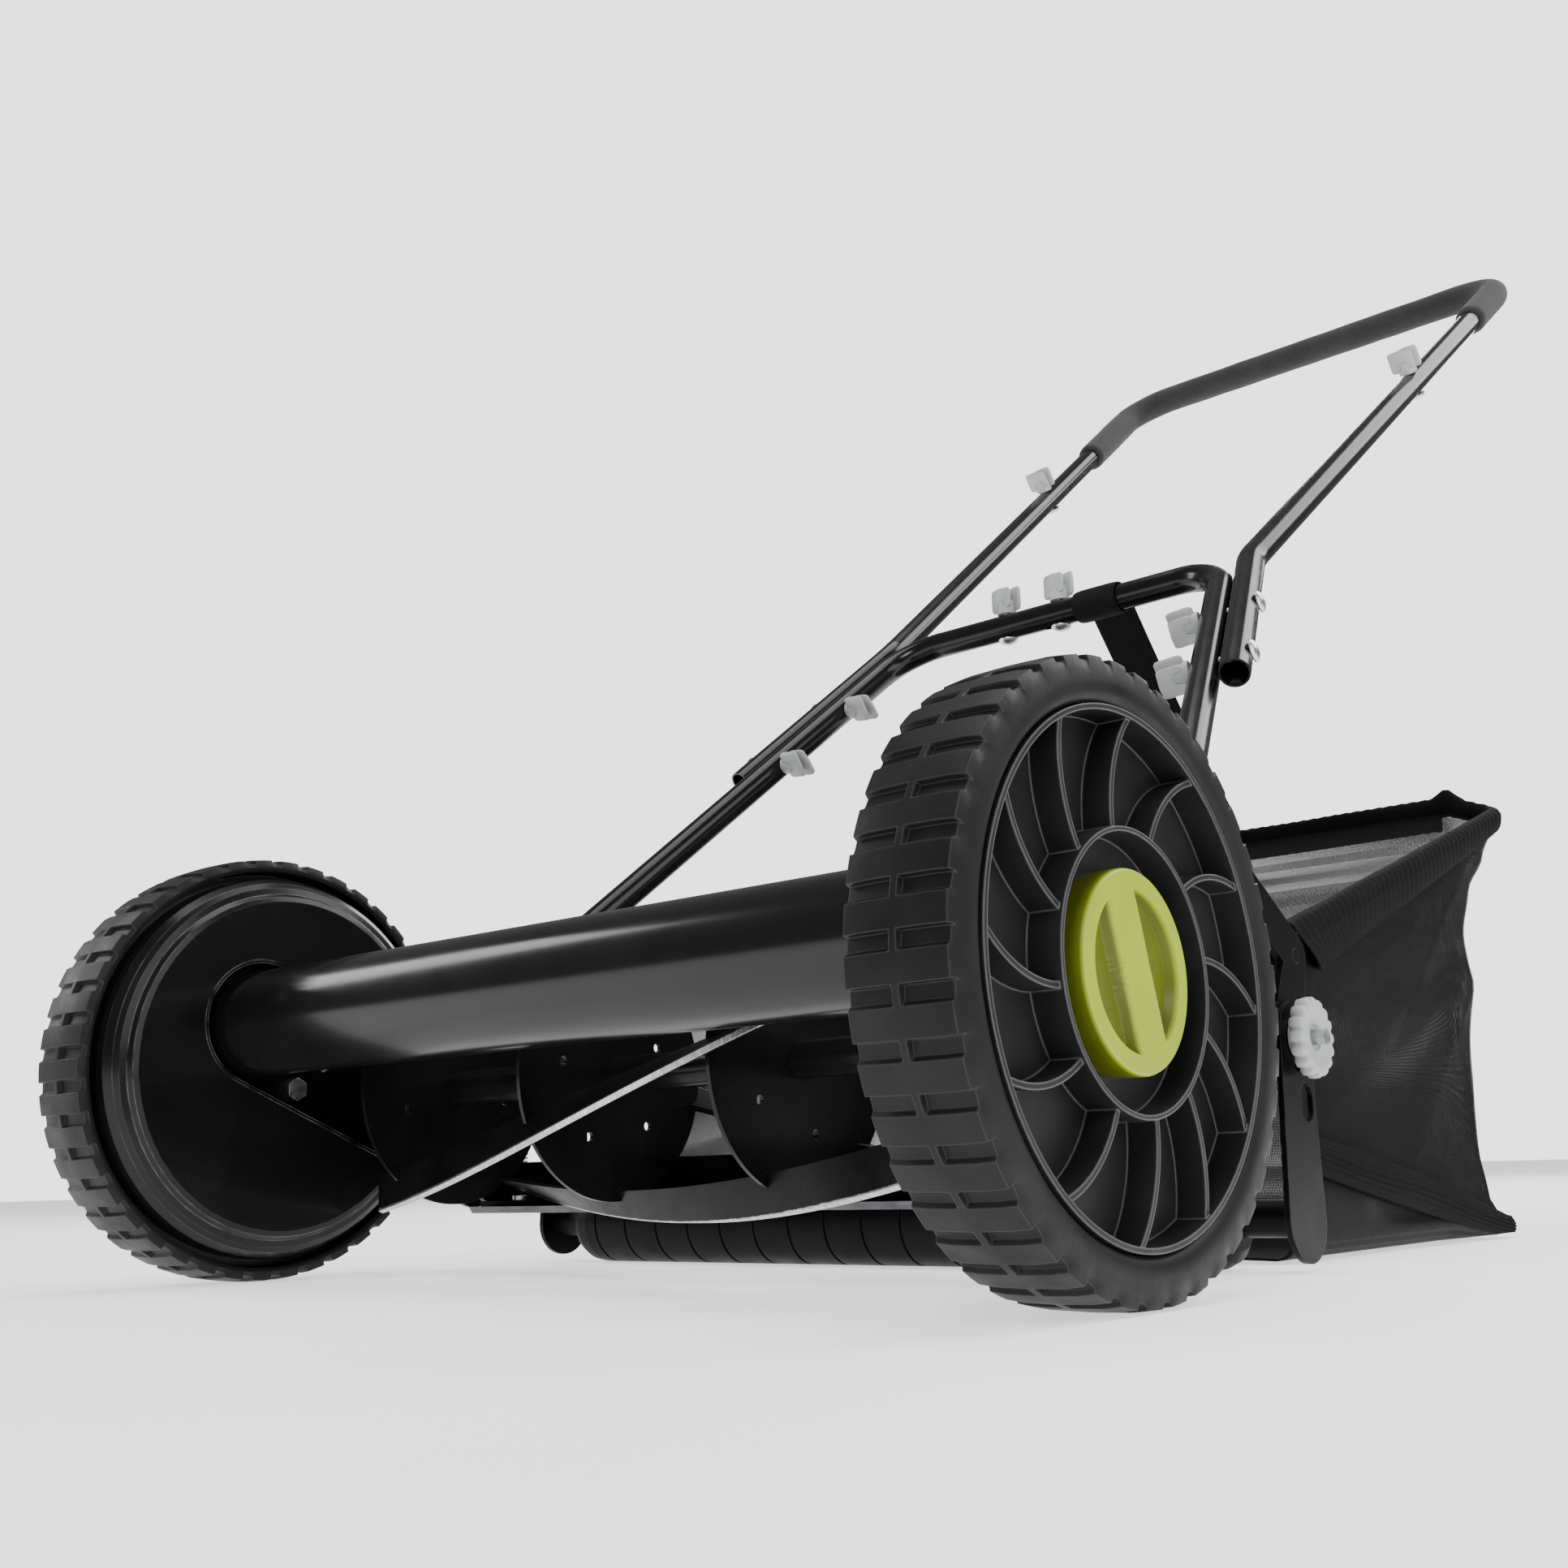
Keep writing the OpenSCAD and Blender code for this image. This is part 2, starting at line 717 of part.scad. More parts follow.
cross_wings = [cos(30), -sin(30), 0];
waist_way = -unit(step);
waist_mid = step / 2;
nut_half = tube_d + 0.15;

module handle_bolts() {
    color("silver") {
        both_sides() for (s = waist_bolts) dome_bolt(low_at(s) + waist_mid, waist_way, nut_half);
        both_sides() dome_bolt(up_bolt, up_normal, tube_r);
        for (x = cross_bolts) dome_bolt([x, waist[1], cross_z], [0, 0, 1], tube_r);
    }
}

module wing_nuts() {
    color("#d5d8da") {
        both_sides() for (s = waist_bolts)
            wing_nut(low_at(s) + waist_mid + waist_way * nut_half, waist_way, cross(waist_way, low_way));
        both_sides() wing_nut(up_bolt + up_normal * tube_r, up_normal, [1, 0, 0]);
        for (x = cross_bolts) wing_nut([x, waist[1], cross_z + tube_r], [0, 0, 1], cross_wings);
    }
}

// ---------- grass bag ----------

wire_r = 3;
hem_r = 8;
rim_front = pt(bag_half, 324, 181);
rim_corner = pt(bag_half, 712, 304);
rim_back = pt(204, 715, 318);
eye_3d = [(eye_x[0] + eye_x[1]) / 2, bag_p[0], bag_p[1]];
eye_way = unit([bag_half - eye_3d[0], rim_front[1] - bag_p[0], rim_front[2] - bag_p[1]]);
wire_path = [eye_3d + 7 * eye_way, rim_front, rim_corner, rim_back,
    mirror_x(rim_back), mirror_x(rim_corner), mirror_x(rim_front), mirror_x(eye_3d + 7 * eye_way)];
hem_path = [rim_front, rim_corner, rim_back, mirror_x(rim_back), mirror_x(rim_corner), mirror_x(rim_front)];
wire_bend = 16;
floor_z = 3;
back_line = [
    at(700, 291), at(668, 262), at(624, 232), at(616, 160), at(614, 95), at(588, 36), at(626, floor_z)
];

module bag_wire() {
    color("#2b2c2e") {
        bent_bar(wire_path, wire_bend, wire_r);
        both_sides() turned(bag_p) translate([pivot_r + fit, eye_x[0]]) square([4, eye_x[1] - eye_x[0]]);
    }
}

module bag_hem() {
    color("#242527") difference() {
        bent_bar(hem_path, wire_bend, hem_r);
        bent_bar(wire_path, wire_bend, wire_r);
    }
}

module bag_side() {
    color("#313235") plate_x(bag_half - cloth_t, bag_half) polygon(concat(
        [at(300, floor_z + cloth_t), at(292, 60), at(306, 167), at(326, 173)],
        [for (p = back_line) p + [0, p[1] == floor_z ? cloth_t : 0]]
    ));
}

// A cloth sheet of thickness t along a line in the side view, from x0 to x1
module sheet_x(line, t, x0, x1) plate_x(x0, x1) {
    for (i = [0 : len(line) - 2]) link2d(line[i], t / 2, line[i + 1], t / 2 - small);
}

module bag_back() {
    color("#313235") {
        sheet_x([for (p = back_line) p + [0, p[1] == floor_z ? 2 * cloth_t : 0]], cloth_t,
            -bag_half + cloth_t + 0.1, bag_half - cloth_t - 0.1);
        sheet_x([back_line[0], at(710, 307.5)], cloth_t, -rim_back[0], rim_back[0]);
    }
}

module bag_floor() {
    color("#1f2022") translate([-bag_half, at(288, 0)[0], floor_z]) cube([2 * bag_half, 342, cloth_t]);
}

strap_x = 22;
strap_lean = 32;
strap_t = 2.4;
strap_top = [waist[1], cross_z];
strap_end = [rim_back[1] - 2, rim_back[2] + hem_r + 4];

module bag_strap() {
    way = unit(strap_end - strap_top);
    up = [-way[1], way[0]];
    ring = tube_r + 0.4;
    start = strap_top + up * (ring + strap_t / 2);
    reach = norm(strap_end - start);
    along = unit(strap_end - start);
    across = [-along[1], along[0]];
    color("#1d1d1f") {
        plate_x(strap_x, strap_x + strap_w) translate(strap_top) difference() {
            circle(r = ring + strap_t);
            circle(r = ring);
        }
        translate([strap_x, start[0], start[1]])
            multmatrix([
                [1, -strap_lean / reach, 0, 0], [0, along[0], across[0], 0],
                [0, along[1], across[1], 0], [0, 0, 0, 1]
            ]) translate([0.4, -1, 0.2 - strap_t / 2]) cube([strap_w - 0.8, reach + 1, strap_t - 0.4]);
    }
}

tyre();  // tyre_left
on_right() tyre();  // tyre_right
rim();  // rim_left
on_right() rim();  // rim_right
ring_gear();  // ring_gear_left
on_right() ring_gear();  // ring_gear_right
hub_cap();  // hub_cap_left
on_right() hub_cap();  // hub_cap_right
hub_bush();  // hub_bush_left
on_right() hub_bush();  // hub_bush_right
axle_studs();
axle_clips();
wheel_cover();  // wheel_cover_left
on_right() wheel_cover();  // wheel_cover_right
cover_nuts();
side_plate();  // side_plate_left
on_right() side_plate();  // side_plate_right
front_tube();
reel_bearings();
bed_knife();
knife_bar();
knife_screws();
knife_pivots();
adjuster_brackets();
adjuster_screws();
adjuster_springs();
handle_pivots();
handle_spacers();
handle_stops();
knob_studs();
bag_pins();
reel_shaft();
reel_spiders();
reel_blades();
pinion();  // pinion_left
on_right() pinion();  // pinion_right
pinion_pawls();
roller_arm();  // roller_arm_left
on_right() roller_arm();  // roller_arm_right
roller_axle();
roller_spacers();
roller();
star_knob();  // star_knob_left
on_right() star_knob();  // star_knob_right
lower_tube_left();
lower_tube_right();
mid_tube();  // mid_tube_left
on_right() mid_tube();  // mid_tube_right
upper_handle();
foam_grip();
handle_bolts();
wing_nuts();
bag_wire();
bag_hem();
bag_side();  // bag_side_left
on_right() bag_side();  // bag_side_right
bag_back();
bag_floor();
bag_strap();
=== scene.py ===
import json
import math

import bpy
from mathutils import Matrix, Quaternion, Vector, noise


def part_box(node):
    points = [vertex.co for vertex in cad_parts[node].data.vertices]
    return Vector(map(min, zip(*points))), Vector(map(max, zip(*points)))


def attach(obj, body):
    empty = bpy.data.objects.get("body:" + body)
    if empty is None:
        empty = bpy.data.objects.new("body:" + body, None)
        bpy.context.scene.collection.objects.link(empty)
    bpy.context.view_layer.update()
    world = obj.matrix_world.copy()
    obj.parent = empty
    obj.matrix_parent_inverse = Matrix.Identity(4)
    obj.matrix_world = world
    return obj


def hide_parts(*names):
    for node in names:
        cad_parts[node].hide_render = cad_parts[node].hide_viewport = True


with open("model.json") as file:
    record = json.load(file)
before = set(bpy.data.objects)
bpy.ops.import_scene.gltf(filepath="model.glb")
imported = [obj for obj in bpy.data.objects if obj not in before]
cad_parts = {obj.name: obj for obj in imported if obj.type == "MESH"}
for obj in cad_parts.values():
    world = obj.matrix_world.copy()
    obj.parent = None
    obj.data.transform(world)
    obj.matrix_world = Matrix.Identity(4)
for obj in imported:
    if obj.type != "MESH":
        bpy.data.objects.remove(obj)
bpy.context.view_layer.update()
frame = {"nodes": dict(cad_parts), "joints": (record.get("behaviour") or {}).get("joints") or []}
nodes = frame["nodes"]
joint_at = {j["name"]: Vector(j["pos_m"]) for j in frame["joints"] if "pos_m" in j}

axle = joint_at["wheel_left_spin"]
reel = joint_at["reel_spin"]
MM = 0.001


def pt(x, y, z):
    """A point given in millimetres from the wheel axle and the floor."""
    return Vector((x * MM, y * MM + axle.y, z * MM))


def mirrored(p):
    return Vector((-p.x, p.y, p.z))


# ---------- camera, floor and lights ----------

# the view that was solved from the photo's wheels, axle line and ground contact
azimuth, elevation, roll = math.radians(40.37), math.radians(-13.08), math.radians(-1.57)
look = Vector((-math.sin(azimuth) * math.cos(elevation), math.cos(azimuth) * math.cos(elevation),
               -math.sin(elevation)))
camera = bpy.data.objects.new("camera", bpy.data.cameras.new("camera"))
camera.data.sensor_width = 36
camera.data.lens = 38.53
camera.data.clip_start, camera.data.clip_end = 0.01, 60
camera.location = pt(635.8, -583.3, 54.05)
camera.rotation_mode = "QUATERNION"
camera.rotation_quaternion = look.to_track_quat("-Z", "Y") @ Quaternion((0, 0, 1), roll)
bpy.context.scene.collection.objects.link(camera)
bpy.context.scene.camera = camera


def area_light(name, place, target, size, power, stretch=1.0):
    data = bpy.data.lights.new(name, "AREA")
    data.shape = "RECTANGLE"
    data.size, data.size_y = size, size * stretch
    data.energy = power
    lamp = bpy.data.objects.new(name, data)
    lamp.location = place
    lamp.rotation_euler = (Vector(target) - Vector(place)).to_track_quat("-Z", "Y").to_euler()
    bpy.context.scene.collection.objects.link(lamp)


area_light("key_light", (1.2, -3.0, 2.4), (0, 0, 0.25), 1.2, 42)
area_light("left_light", (-2.6, -1.2, 1.5), (0, -0.2, 0.25), 0.7, 26, 2.6)
area_light("right_light", (2.8, -0.5, 1.2), (0, 0, 0.4), 1.5, 32, 1.5)
area_light("back_light", (-0.6, 2.8, 2.2), (0, 0.2, 0.3), 1.2, 45)
area_light("top_light", (0, -0.2, 3.2), (0, 0, 0), 2.2, 55)
area_light("handle_light", (1.35, 1.9, 2.5), (0.15, 0.3, 0.6), 1.9, 60)

# a white backdrop for the camera and a much dimmer surround for the reflections
world = bpy.data.worlds.new("studio")
bpy.context.scene.world = world
world.use_nodes = True
tree = world.node_tree
surround = tree.nodes["Background"]
surround.inputs["Color"].default_value = (0.93, 0.94, 0.95, 1)
surround.inputs["Strength"].default_value = 0.2
backdrop = tree.nodes.new("ShaderNodeBackground")
backdrop.inputs["Color"].default_value = (1, 1, 1, 1)
backdrop.inputs["Strength"].default_value = 2.6
chooser = tree.nodes.new("ShaderNodeMixShader")
tree.links.new(tree.nodes.new("ShaderNodeLightPath").outputs["Is Camera Ray"], chooser.inputs[0])
tree.links.new(surround.outputs[0], chooser.inputs[1])
tree.links.new(backdrop.outputs[0], chooser.inputs[2])
tree.links.new(chooser.outputs[0], tree.nodes["World Output"].inputs[0])


# ---------- materials ----------


class Shade:
    """A procedural material: a few node-making shortcuts round one Principled shader."""

    def __init__(self, name, **constants):
        self.material = bpy.data.materials.new(name)
        self.material.use_nodes = True
        self.tree = self.material.node_tree
        self.shader = self.tree.nodes["Principled BSDF"]
        for socket, value in constants.items():
            self.shader.inputs[socket.replace("_", " ")].default_value = value

    def add(self, kind, settings=None, **inputs):
        """A node; its inputs are given by name, or by number as i0, i1 and so on."""
        node = self.tree.nodes.new(kind)
        for key, value in (settings or {}).items():
            setattr(node, key, value)
        for key, value in inputs.items():
            numbered = key[0] == "i" and key[1:].isdigit()
            self.put(node.inputs[int(key[1:]) if numbered else key.replace("_", " ")], value)
        return node

    def put(self, socket, value):
        if isinstance(value, bpy.types.NodeSocket):
            self.tree.links.new(value, socket)
        else:
            socket.default_value = value

    def math(self, operation, a, b=0.0, clamp=False):
        return self.add("ShaderNodeMath", {"operation": operation, "use_clamp": clamp}, i0=a, i1=b).outputs[0]

    def place(self, scale=(1, 1, 1), source="Object"):
        coordinates = self.add("ShaderNodeTexCoord").outputs[source]
        return self.add("ShaderNodeMapping", i0=coordinates, Scale=scale).outputs[0]

    def noise(self, scale, detail=4.0, stretch=(1, 1, 1), source="Object"):
        where = self.place(stretch, source)
        return self.add("ShaderNodeTexNoise", Vector=where, Scale=scale, Detail=detail).outputs["Fac"]

    def ramp(self, value, low, high, out_low=0.0, out_high=1.0):
        return self.add("ShaderNodeMapRange", i0=value, i1=low, i2=high, i3=out_low, i4=out_high).outputs[0]

    def mix(self, factor, a, b):
        return self.add("ShaderNodeMix", {"data_type": "RGBA"}, i0=factor, i6=a, i7=b).outputs[2]

    def edges(self, radius):
        """1 on a convex or concave edge, and 0 on flat surfaces."""
        soft = self.add("ShaderNodeBevel", {"samples": 4}, Radius=radius).outputs[0]
        flat = self.add("ShaderNodeNewGeometry").outputs["Normal"]
        dot = self.add("ShaderNodeVectorMath", {"operation": "DOT_PRODUCT"}, i0=soft, i1=flat)
        return self.ramp(dot.outputs["Value"], 0.995, 0.86)

    def bump(self, height, distance, strength=1.0, bevel=0.0):
        node = self.add("ShaderNodeBump", Height=height, Distance=distance, Strength=strength)
        if bevel:
            soft = self.add("ShaderNodeBevel", {"samples": 4}, Radius=bevel)
            self.put(node.inputs["Normal"], soft.outputs[0])
        self.put(self.shader.inputs["Normal"], node.outputs[0])


def rgb(r, g, b):
    return (r, g, b, 1)


def paint(name, dark, light, rough, coat=0.0, wear_and_highlight=None, grain=0.00003, bevel=0.0005, shine=0.5):
    """Painted or plated metal: cloudy colour, uneven gloss, a fine skin and lighter edges that are partly
    worn paint and partly a painted highlight.
    """
    s = Shade(name, Coat_Weight=coat, Coat_Roughness=0.1, Specular_IOR_Level=shine)
    cloud = s.noise(14, 5)
    colour = s.mix(s.ramp(cloud, 0.35, 0.68), dark, light)
    # lighter edges, partly worn paint and partly a painted highlight where edges catch the light
    if wear_and_highlight:
        scuff_and_highlight = s.math("MULTIPLY", s.edges(bevel * 1.6), s.ramp(s.noise(70, 6), 0.36, 0.62), True)
        colour = s.mix(s.math("MULTIPLY", scuff_and_highlight, wear_and_highlight[1]), colour, wear_and_highlight[0])
    s.put(s.shader.inputs["Base Color"], colour)
    s.put(s.shader.inputs["Roughness"], s.ramp(s.noise(45, 6), 0.3, 0.7, rough[0], rough[1]))
    s.bump(s.noise(1500, 2), grain, 1.0, bevel)
    return s


def metal(name, dark, light, rough, stretch=(1, 1, 1), bevel=0.0004, scale=260):
    """Bare or plated metal with drawn marks along one direction."""
    s = Shade(name, Metallic=1.0)
    marks = s.noise(scale, 5, stretch)
    cloud = s.noise(22, 4)
    both = s.math("MULTIPLY", marks, cloud)
    s.put(s.shader.inputs["Base Color"], s.mix(s.ramp(both, 0.12, 0.42), dark, light))
    s.put(s.shader.inputs["Roughness"], s.ramp(marks, 0.3, 0.7, rough[0], rough[1]))
    s.bump(marks, 0.00004, 1.0, bevel)
    return s


def plastic(name, dark, light, rough, grain=0.00006, bevel=0.0006, edge=None, speckle=900, **constants):
    """Moulded plastic: soft mottling, a fine textured skin and lighter edges, partly rubbed and partly a
    painted highlight.
    """
    s = Shade(name, **constants)
    colour = s.mix(s.ramp(s.noise(18, 5), 0.32, 0.7), dark, light)
    # lighter edges: partly rubbed plastic, partly a painted highlight where edges catch the light
    if edge:
        colour = s.mix(s.math("MULTIPLY", s.edges(bevel * 1.5), edge[1]), colour, edge[0])
    s.put(s.shader.inputs["Base Color"], colour)
    s.put(s.shader.inputs["Roughness"], s.ramp(s.noise(60, 5), 0.3, 0.7, rough[0], rough[1]))
    s.bump(s.noise(speckle, 3), grain, 1.0, bevel)
    return s


gloss_black = paint("gloss_black", rgb(0.004, 0.004, 0.0045), rgb(0.007, 0.007, 0.0075), (0.17, 0.21), 0.08,
                    grain=0.0000012, bevel=0, shine=0.3)
satin_black = paint("satin_black", rgb(0.001, 0.001, 0.0012), rgb(0.0028, 0.0028, 0.0032), (0.32, 0.38), 0.02,
                    (rgb(0.1, 0.1, 0.11), 0.5), 0.00001, shine=0.1)
# the cover's light rim ring is a painted highlight on its rolled edge, carried by the edge colour
cover_black = paint("cover_black", rgb(0.004, 0.004, 0.0045), rgb(0.008, 0.008, 0.009), (0.22, 0.26), 0.1,
                    (rgb(0.32, 0.32, 0.33), 0.85), 0.000002, 0.0007, 0.2)
spider_black = paint("spider_black", rgb(0.004, 0.004, 0.005), rgb(0.009, 0.009, 0.01), (0.22, 0.27), 0.08,
                     grain=0.000002, shine=0.2)
zinc = metal("zinc_plate", rgb(0.5, 0.5, 0.5), rgb(0.8, 0.81, 0.83), (0.24, 0.4))
bearing_steel = metal("bearing_steel", rgb(0.3, 0.3, 0.31), rgb(0.52, 0.52, 0.54), (0.3, 0.5))
knife_steel = metal("knife_steel", rgb(0.06, 0.06, 0.065), rgb(0.22, 0.22, 0.23), (0.34, 0.5), (0.4, 9, 9))
brass = metal("bush_brass", rgb(0.42, 0.31, 0.14), rgb(0.72, 0.56, 0.3), (0.3, 0.46))
# the light rib edges of the rims are a painted highlight
rim_plastic = plastic("rim_plastic", rgb(0.008, 0.0082, 0.0086), rgb(0.019, 0.0195, 0.0205), (0.4, 0.54),
                      edge=(rgb(0.19, 0.19, 0.2), 0.9), bevel=0.0009, Specular_IOR_Level=0.25)
gear_plastic = plastic("gear_plastic", rgb(0.05, 0.05, 0.052), rgb(0.08, 0.08, 0.083), (0.4, 0.55))
cap_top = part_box("hub_cap_left")[1].x


def cap_material():
    """Lime plastic with painted shade: darker below the face, on the cap's side and in its hollows."""
    s = plastic("lime_plastic", rgb(0.36, 0.45, 0.03), rgb(0.42, 0.52, 0.045), (0.34, 0.46), 0.00002)
    parts = s.add("ShaderNodeSeparateXYZ", Vector=s.add("ShaderNodeTexCoord").outputs["Object"])
    high = s.ramp(s.math("ABSOLUTE", parts.outputs[0]), cap_top - 0.0022, cap_top - 0.0006)
    face = s.mix(s.ramp(s.noise(18, 5), 0.32, 0.7), rgb(0.33, 0.43, 0.008), rgb(0.39, 0.5, 0.014))
    # painted shade: a darker lime for the side wall and the hollows, where shade falls
    painted_shade_lime = s.mix(s.ramp(s.noise(25, 4), 0.32, 0.7), rgb(0.1, 0.125, 0.004), rgb(0.15, 0.18, 0.006))
    s.put(s.shader.inputs["Base Color"], s.mix(high, painted_shade_lime, face))
    return s


lime = cap_material()
roller_plastic = plastic("roller_plastic", rgb(0.0012, 0.0012, 0.0014), rgb(0.0035, 0.0035, 0.0038),
                         (0.34, 0.5), edge=(rgb(0.03, 0.03, 0.032), 0.5), Specular_IOR_Level=0.1)
pale = plastic("pale_plastic", rgb(0.4, 0.41, 0.42), rgb(0.52, 0.53, 0.54), (0.34, 0.46), 0.00003,
               bevel=0.0003, Subsurface_Weight=0.15, Subsurface_Scale=0.003)
rubber = plastic("tyre_rubber", rgb(0.005, 0.0052, 0.0056), rgb(0.012, 0.0125, 0.0135), (0.4, 0.56), 0.00008,
                 edge=(rgb(0.06, 0.062, 0.065), 0.7), bevel=0.0007, speckle=420, Specular_IOR_Level=0.2)


def blade_material():
    """Black paint with a ground bright strip along the cutting edge, by distance from the reel's axis."""
    s = Shade("reel_blade", Specular_IOR_Level=0.12)
    parts = s.add("ShaderNodeSeparateXYZ", Vector=s.add("ShaderNodeTexCoord").outputs["Object"])
    dy = s.math("SUBTRACT", parts.outputs[1], reel.y)
    dz = s.math("SUBTRACT", parts.outputs[2], reel.z)
    far = s.math("SQRT", s.math("ADD", s.math("MULTIPLY", dy, dy), s.math("MULTIPLY", dz, dz)))
    rag = s.math("MULTIPLY", s.math("SUBTRACT", s.noise(160, 4), 0.5), 0.0012)
    bright = s.ramp(s.math("ADD", far, rag), 0.0804, 0.0811)
    black = s.mix(s.ramp(s.noise(20, 5), 0.35, 0.7), rgb(0.004, 0.004, 0.005), rgb(0.01, 0.01, 0.011))
    steel = s.mix(s.ramp(s.noise(300, 4, (3, 1, 1)), 0.35, 0.65), rgb(0.42, 0.41, 0.4), rgb(0.78, 0.78, 0.79))
    s.put(s.shader.inputs["Base Color"], s.mix(bright, black, steel))
    s.put(s.shader.inputs["Metallic"], bright)
    s.put(s.shader.inputs["Roughness"], s.ramp(s.noise(80, 5), 0.3, 0.7, 0.26, 0.42))
    s.bump(s.noise(900, 3), 0.00004, 1.0, 0.0004)
    return s


def foam_material():
    s = Shade("grip_foam", Sheen_Weight=0.1, Sheen_Roughness=0.6, Specular_IOR_Level=0.3)
    cells = s.add("ShaderNodeTexVoronoi", Vector=s.place(), Scale=620).outputs["Distance"]
    s.put(s.shader.inputs["Base Color"], s.mix(s.ramp(s.noise(30, 5), 0.3, 0.7), rgb(0.012, 0.012, 0.013),
                                               rgb(0.024, 0.024, 0.025)))
    s.put(s.shader.inputs["Roughness"], s.ramp(cells, 0, 0.6, 0.74, 0.92))
    s.bump(cells, 0.00025, 0.7)
    return s


def weave_material(name, dark, light, pitch, rough=0.75, see=0.0, relief=0.3):
    """Woven cloth with UVs in metres: crossed threads, uneven dye and, for mesh, small holes."""
    s = Shade(name, Specular_IOR_Level=0.1)
    threads = []
    for direction in ("X", "Y"):
        wave = s.add("ShaderNodeTexWave", {"bands_direction": direction, "wave_profile": "SIN"},
                     Vector=s.place(source="UV"), Scale=math.pi / 5 / pitch, Distortion=0.6, Detail=2)
        threads.append(wave.outputs["Fac"])
    cross = s.math("MAXIMUM", *threads)
    dye = s.noise(9, 6, source="UV")
    tone = s.math("MULTIPLY", s.ramp(cross, 0.4, 1.0), s.ramp(dye, 0.3, 0.7, 0.35, 1.0))
    s.put(s.shader.inputs["Base Color"], s.mix(tone, dark, light))
    s.put(s.shader.inputs["Roughness"], s.ramp(cross, 0.3, 1, rough + 0.15, rough))
    if see:
        s.put(s.shader.inputs["Alpha"], s.ramp(cross, 0.5, 0.72, 1 - see, 1.0))
    s.bump(cross, pitch * relief, 0.8)
    return s


blade_shade = blade_material()
foam = foam_material()
mesh_cloth = weave_material("mesh_cloth", rgb(0.002, 0.002, 0.0025), rgb(0.014, 0.014, 0.0155), 0.0016,
                            see=0.8)
hem_cloth = weave_material("hem_cloth", rgb(0.002, 0.002, 0.002), rgb(0.011, 0.011, 0.012), 0.0013)
tray_cloth = weave_material("tray_cloth", rgb(0.0008, 0.0008, 0.001), rgb(0.0022, 0.0022, 0.0026), 0.005,
                            rough=0.5, relief=0.01)
webbing = weave_material("webbing", rgb(0.003, 0.003, 0.003), rgb(0.016, 0.016, 0.017), 0.0018, rough=0.6)

shade_of = {
    gloss_black: ["front_tube", "upper_handle", "lower_tube_left", "lower_tube_right", "mid_tube_left",
                  "mid_tube_right"],
    satin_black: ["side_plate_left", "side_plate_right", "roller_arm_left", "roller_arm_right", "knife_bar",
                  "adjuster_brackets", "handle_stops", "bag_pins", "roller_axle"],
    cover_black: ["wheel_cover_left", "wheel_cover_right"],
    spider_black: ["reel_spiders", "reel_shaft"],
    zinc: ["axle_studs", "axle_clips", "cover_nuts", "knife_screws", "knife_pivots", "adjuster_screws",
           "handle_pivots", "handle_spacers", "knob_studs", "bag_wire"],
    bearing_steel: ["reel_bearings", "pinion_left", "pinion_right", "pinion_pawls"],
    knife_steel: ["bed_knife"],
    blade_shade: ["reel_blades"],
    brass: ["hub_bush_left", "hub_bush_right"],
    rim_plastic: ["rim_left", "rim_right"],
    gear_plastic: ["ring_gear_left", "ring_gear_right"],
    roller_plastic: ["roller", "roller_spacers"],
}
for shade, names in shade_of.items():
    for name in names:
        nodes[name].data.materials.clear()
        nodes[name].data.materials.append(shade.material)
# the twisted blades are smooth sheets with sharp edges
weld = nodes["reel_blades"].modifiers.new("weld", "WELD")
weld.merge_threshold = 0.00001
nodes["reel_blades"].data.shade_smooth()
edges = nodes["reel_blades"].modifiers.new("edges", "EDGE_SPLIT")
edges.split_angle = math.radians(35)


# ---------- mesh helpers ----------


def piece(name, verts, faces, body, shade, slot, stands_for=(), uvs=None, crease=38):
    """A new mesh that rides on a body, stands for CAD nodes and has its own material."""
    mesh = bpy.data.meshes.new(name)
    mesh.from_pydata([tuple(v) for v in verts], [], faces)
    mesh.validate()
    if uvs:
        layer = mesh.uv_layers.new(name="UVMap")
        for loop in mesh.loops:
            layer.data[loop.index].uv = uvs[loop.vertex_index]
    mesh.materials.append(shade.material)
    mesh.shade_smooth()
    mesh.set_sharp_from_angle(angle=math.radians(crease))
    made = bpy.data.objects.new(name, mesh)
    bpy.context.scene.collection.objects.link(made)
    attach(made, body)
    if stands_for:
        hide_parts(*stands_for)
    return made


def loft(rings, closed_ring=True, closed_path=False, caps=False):
    """Vertices and faces of the skin through rings that have the same number of points."""
    n = len(rings[0])
    verts = [p for ring in rings for p in ring]
    faces = []
    for i in range(len(rings) - (0 if closed_path else 1)):
        j = (i + 1) % len(rings)
        for k in range(n if closed_ring else n - 1):
            m = (k + 1) % n
            faces.append((i * n + k, i * n + m, j * n + m, j * n + k))
    if caps:
        last = (len(rings) - 1) * n
        faces += [tuple(range(n - 1, -1, -1)), tuple(last + k for k in range(n))]
    return verts, faces


def joined(parts):
    """One list of vertices and faces out of several (verts, faces) pairs."""
    verts, faces = [], []
    for more_verts, more_faces in parts:
        base = len(verts)
        verts += more_verts
        faces += [tuple(base + i for i in f) for f in more_faces]
    return verts, faces


def turned(profile, centre, way, steps=48):
    """A closed solid turned about a line: profile is [(distance along way, radius), ...]."""
    way = Vector(way).normalized()
    side = way.orthogonal().normalized()
    up = way.cross(side)
    rings = []
    for a in round_turn(steps):
        out = side * math.cos(a) + up * math.sin(a)
        rings.append([Vector(centre) + way * x + out * r for x, r in profile])
    return loft(rings, closed_ring=True, closed_path=True)


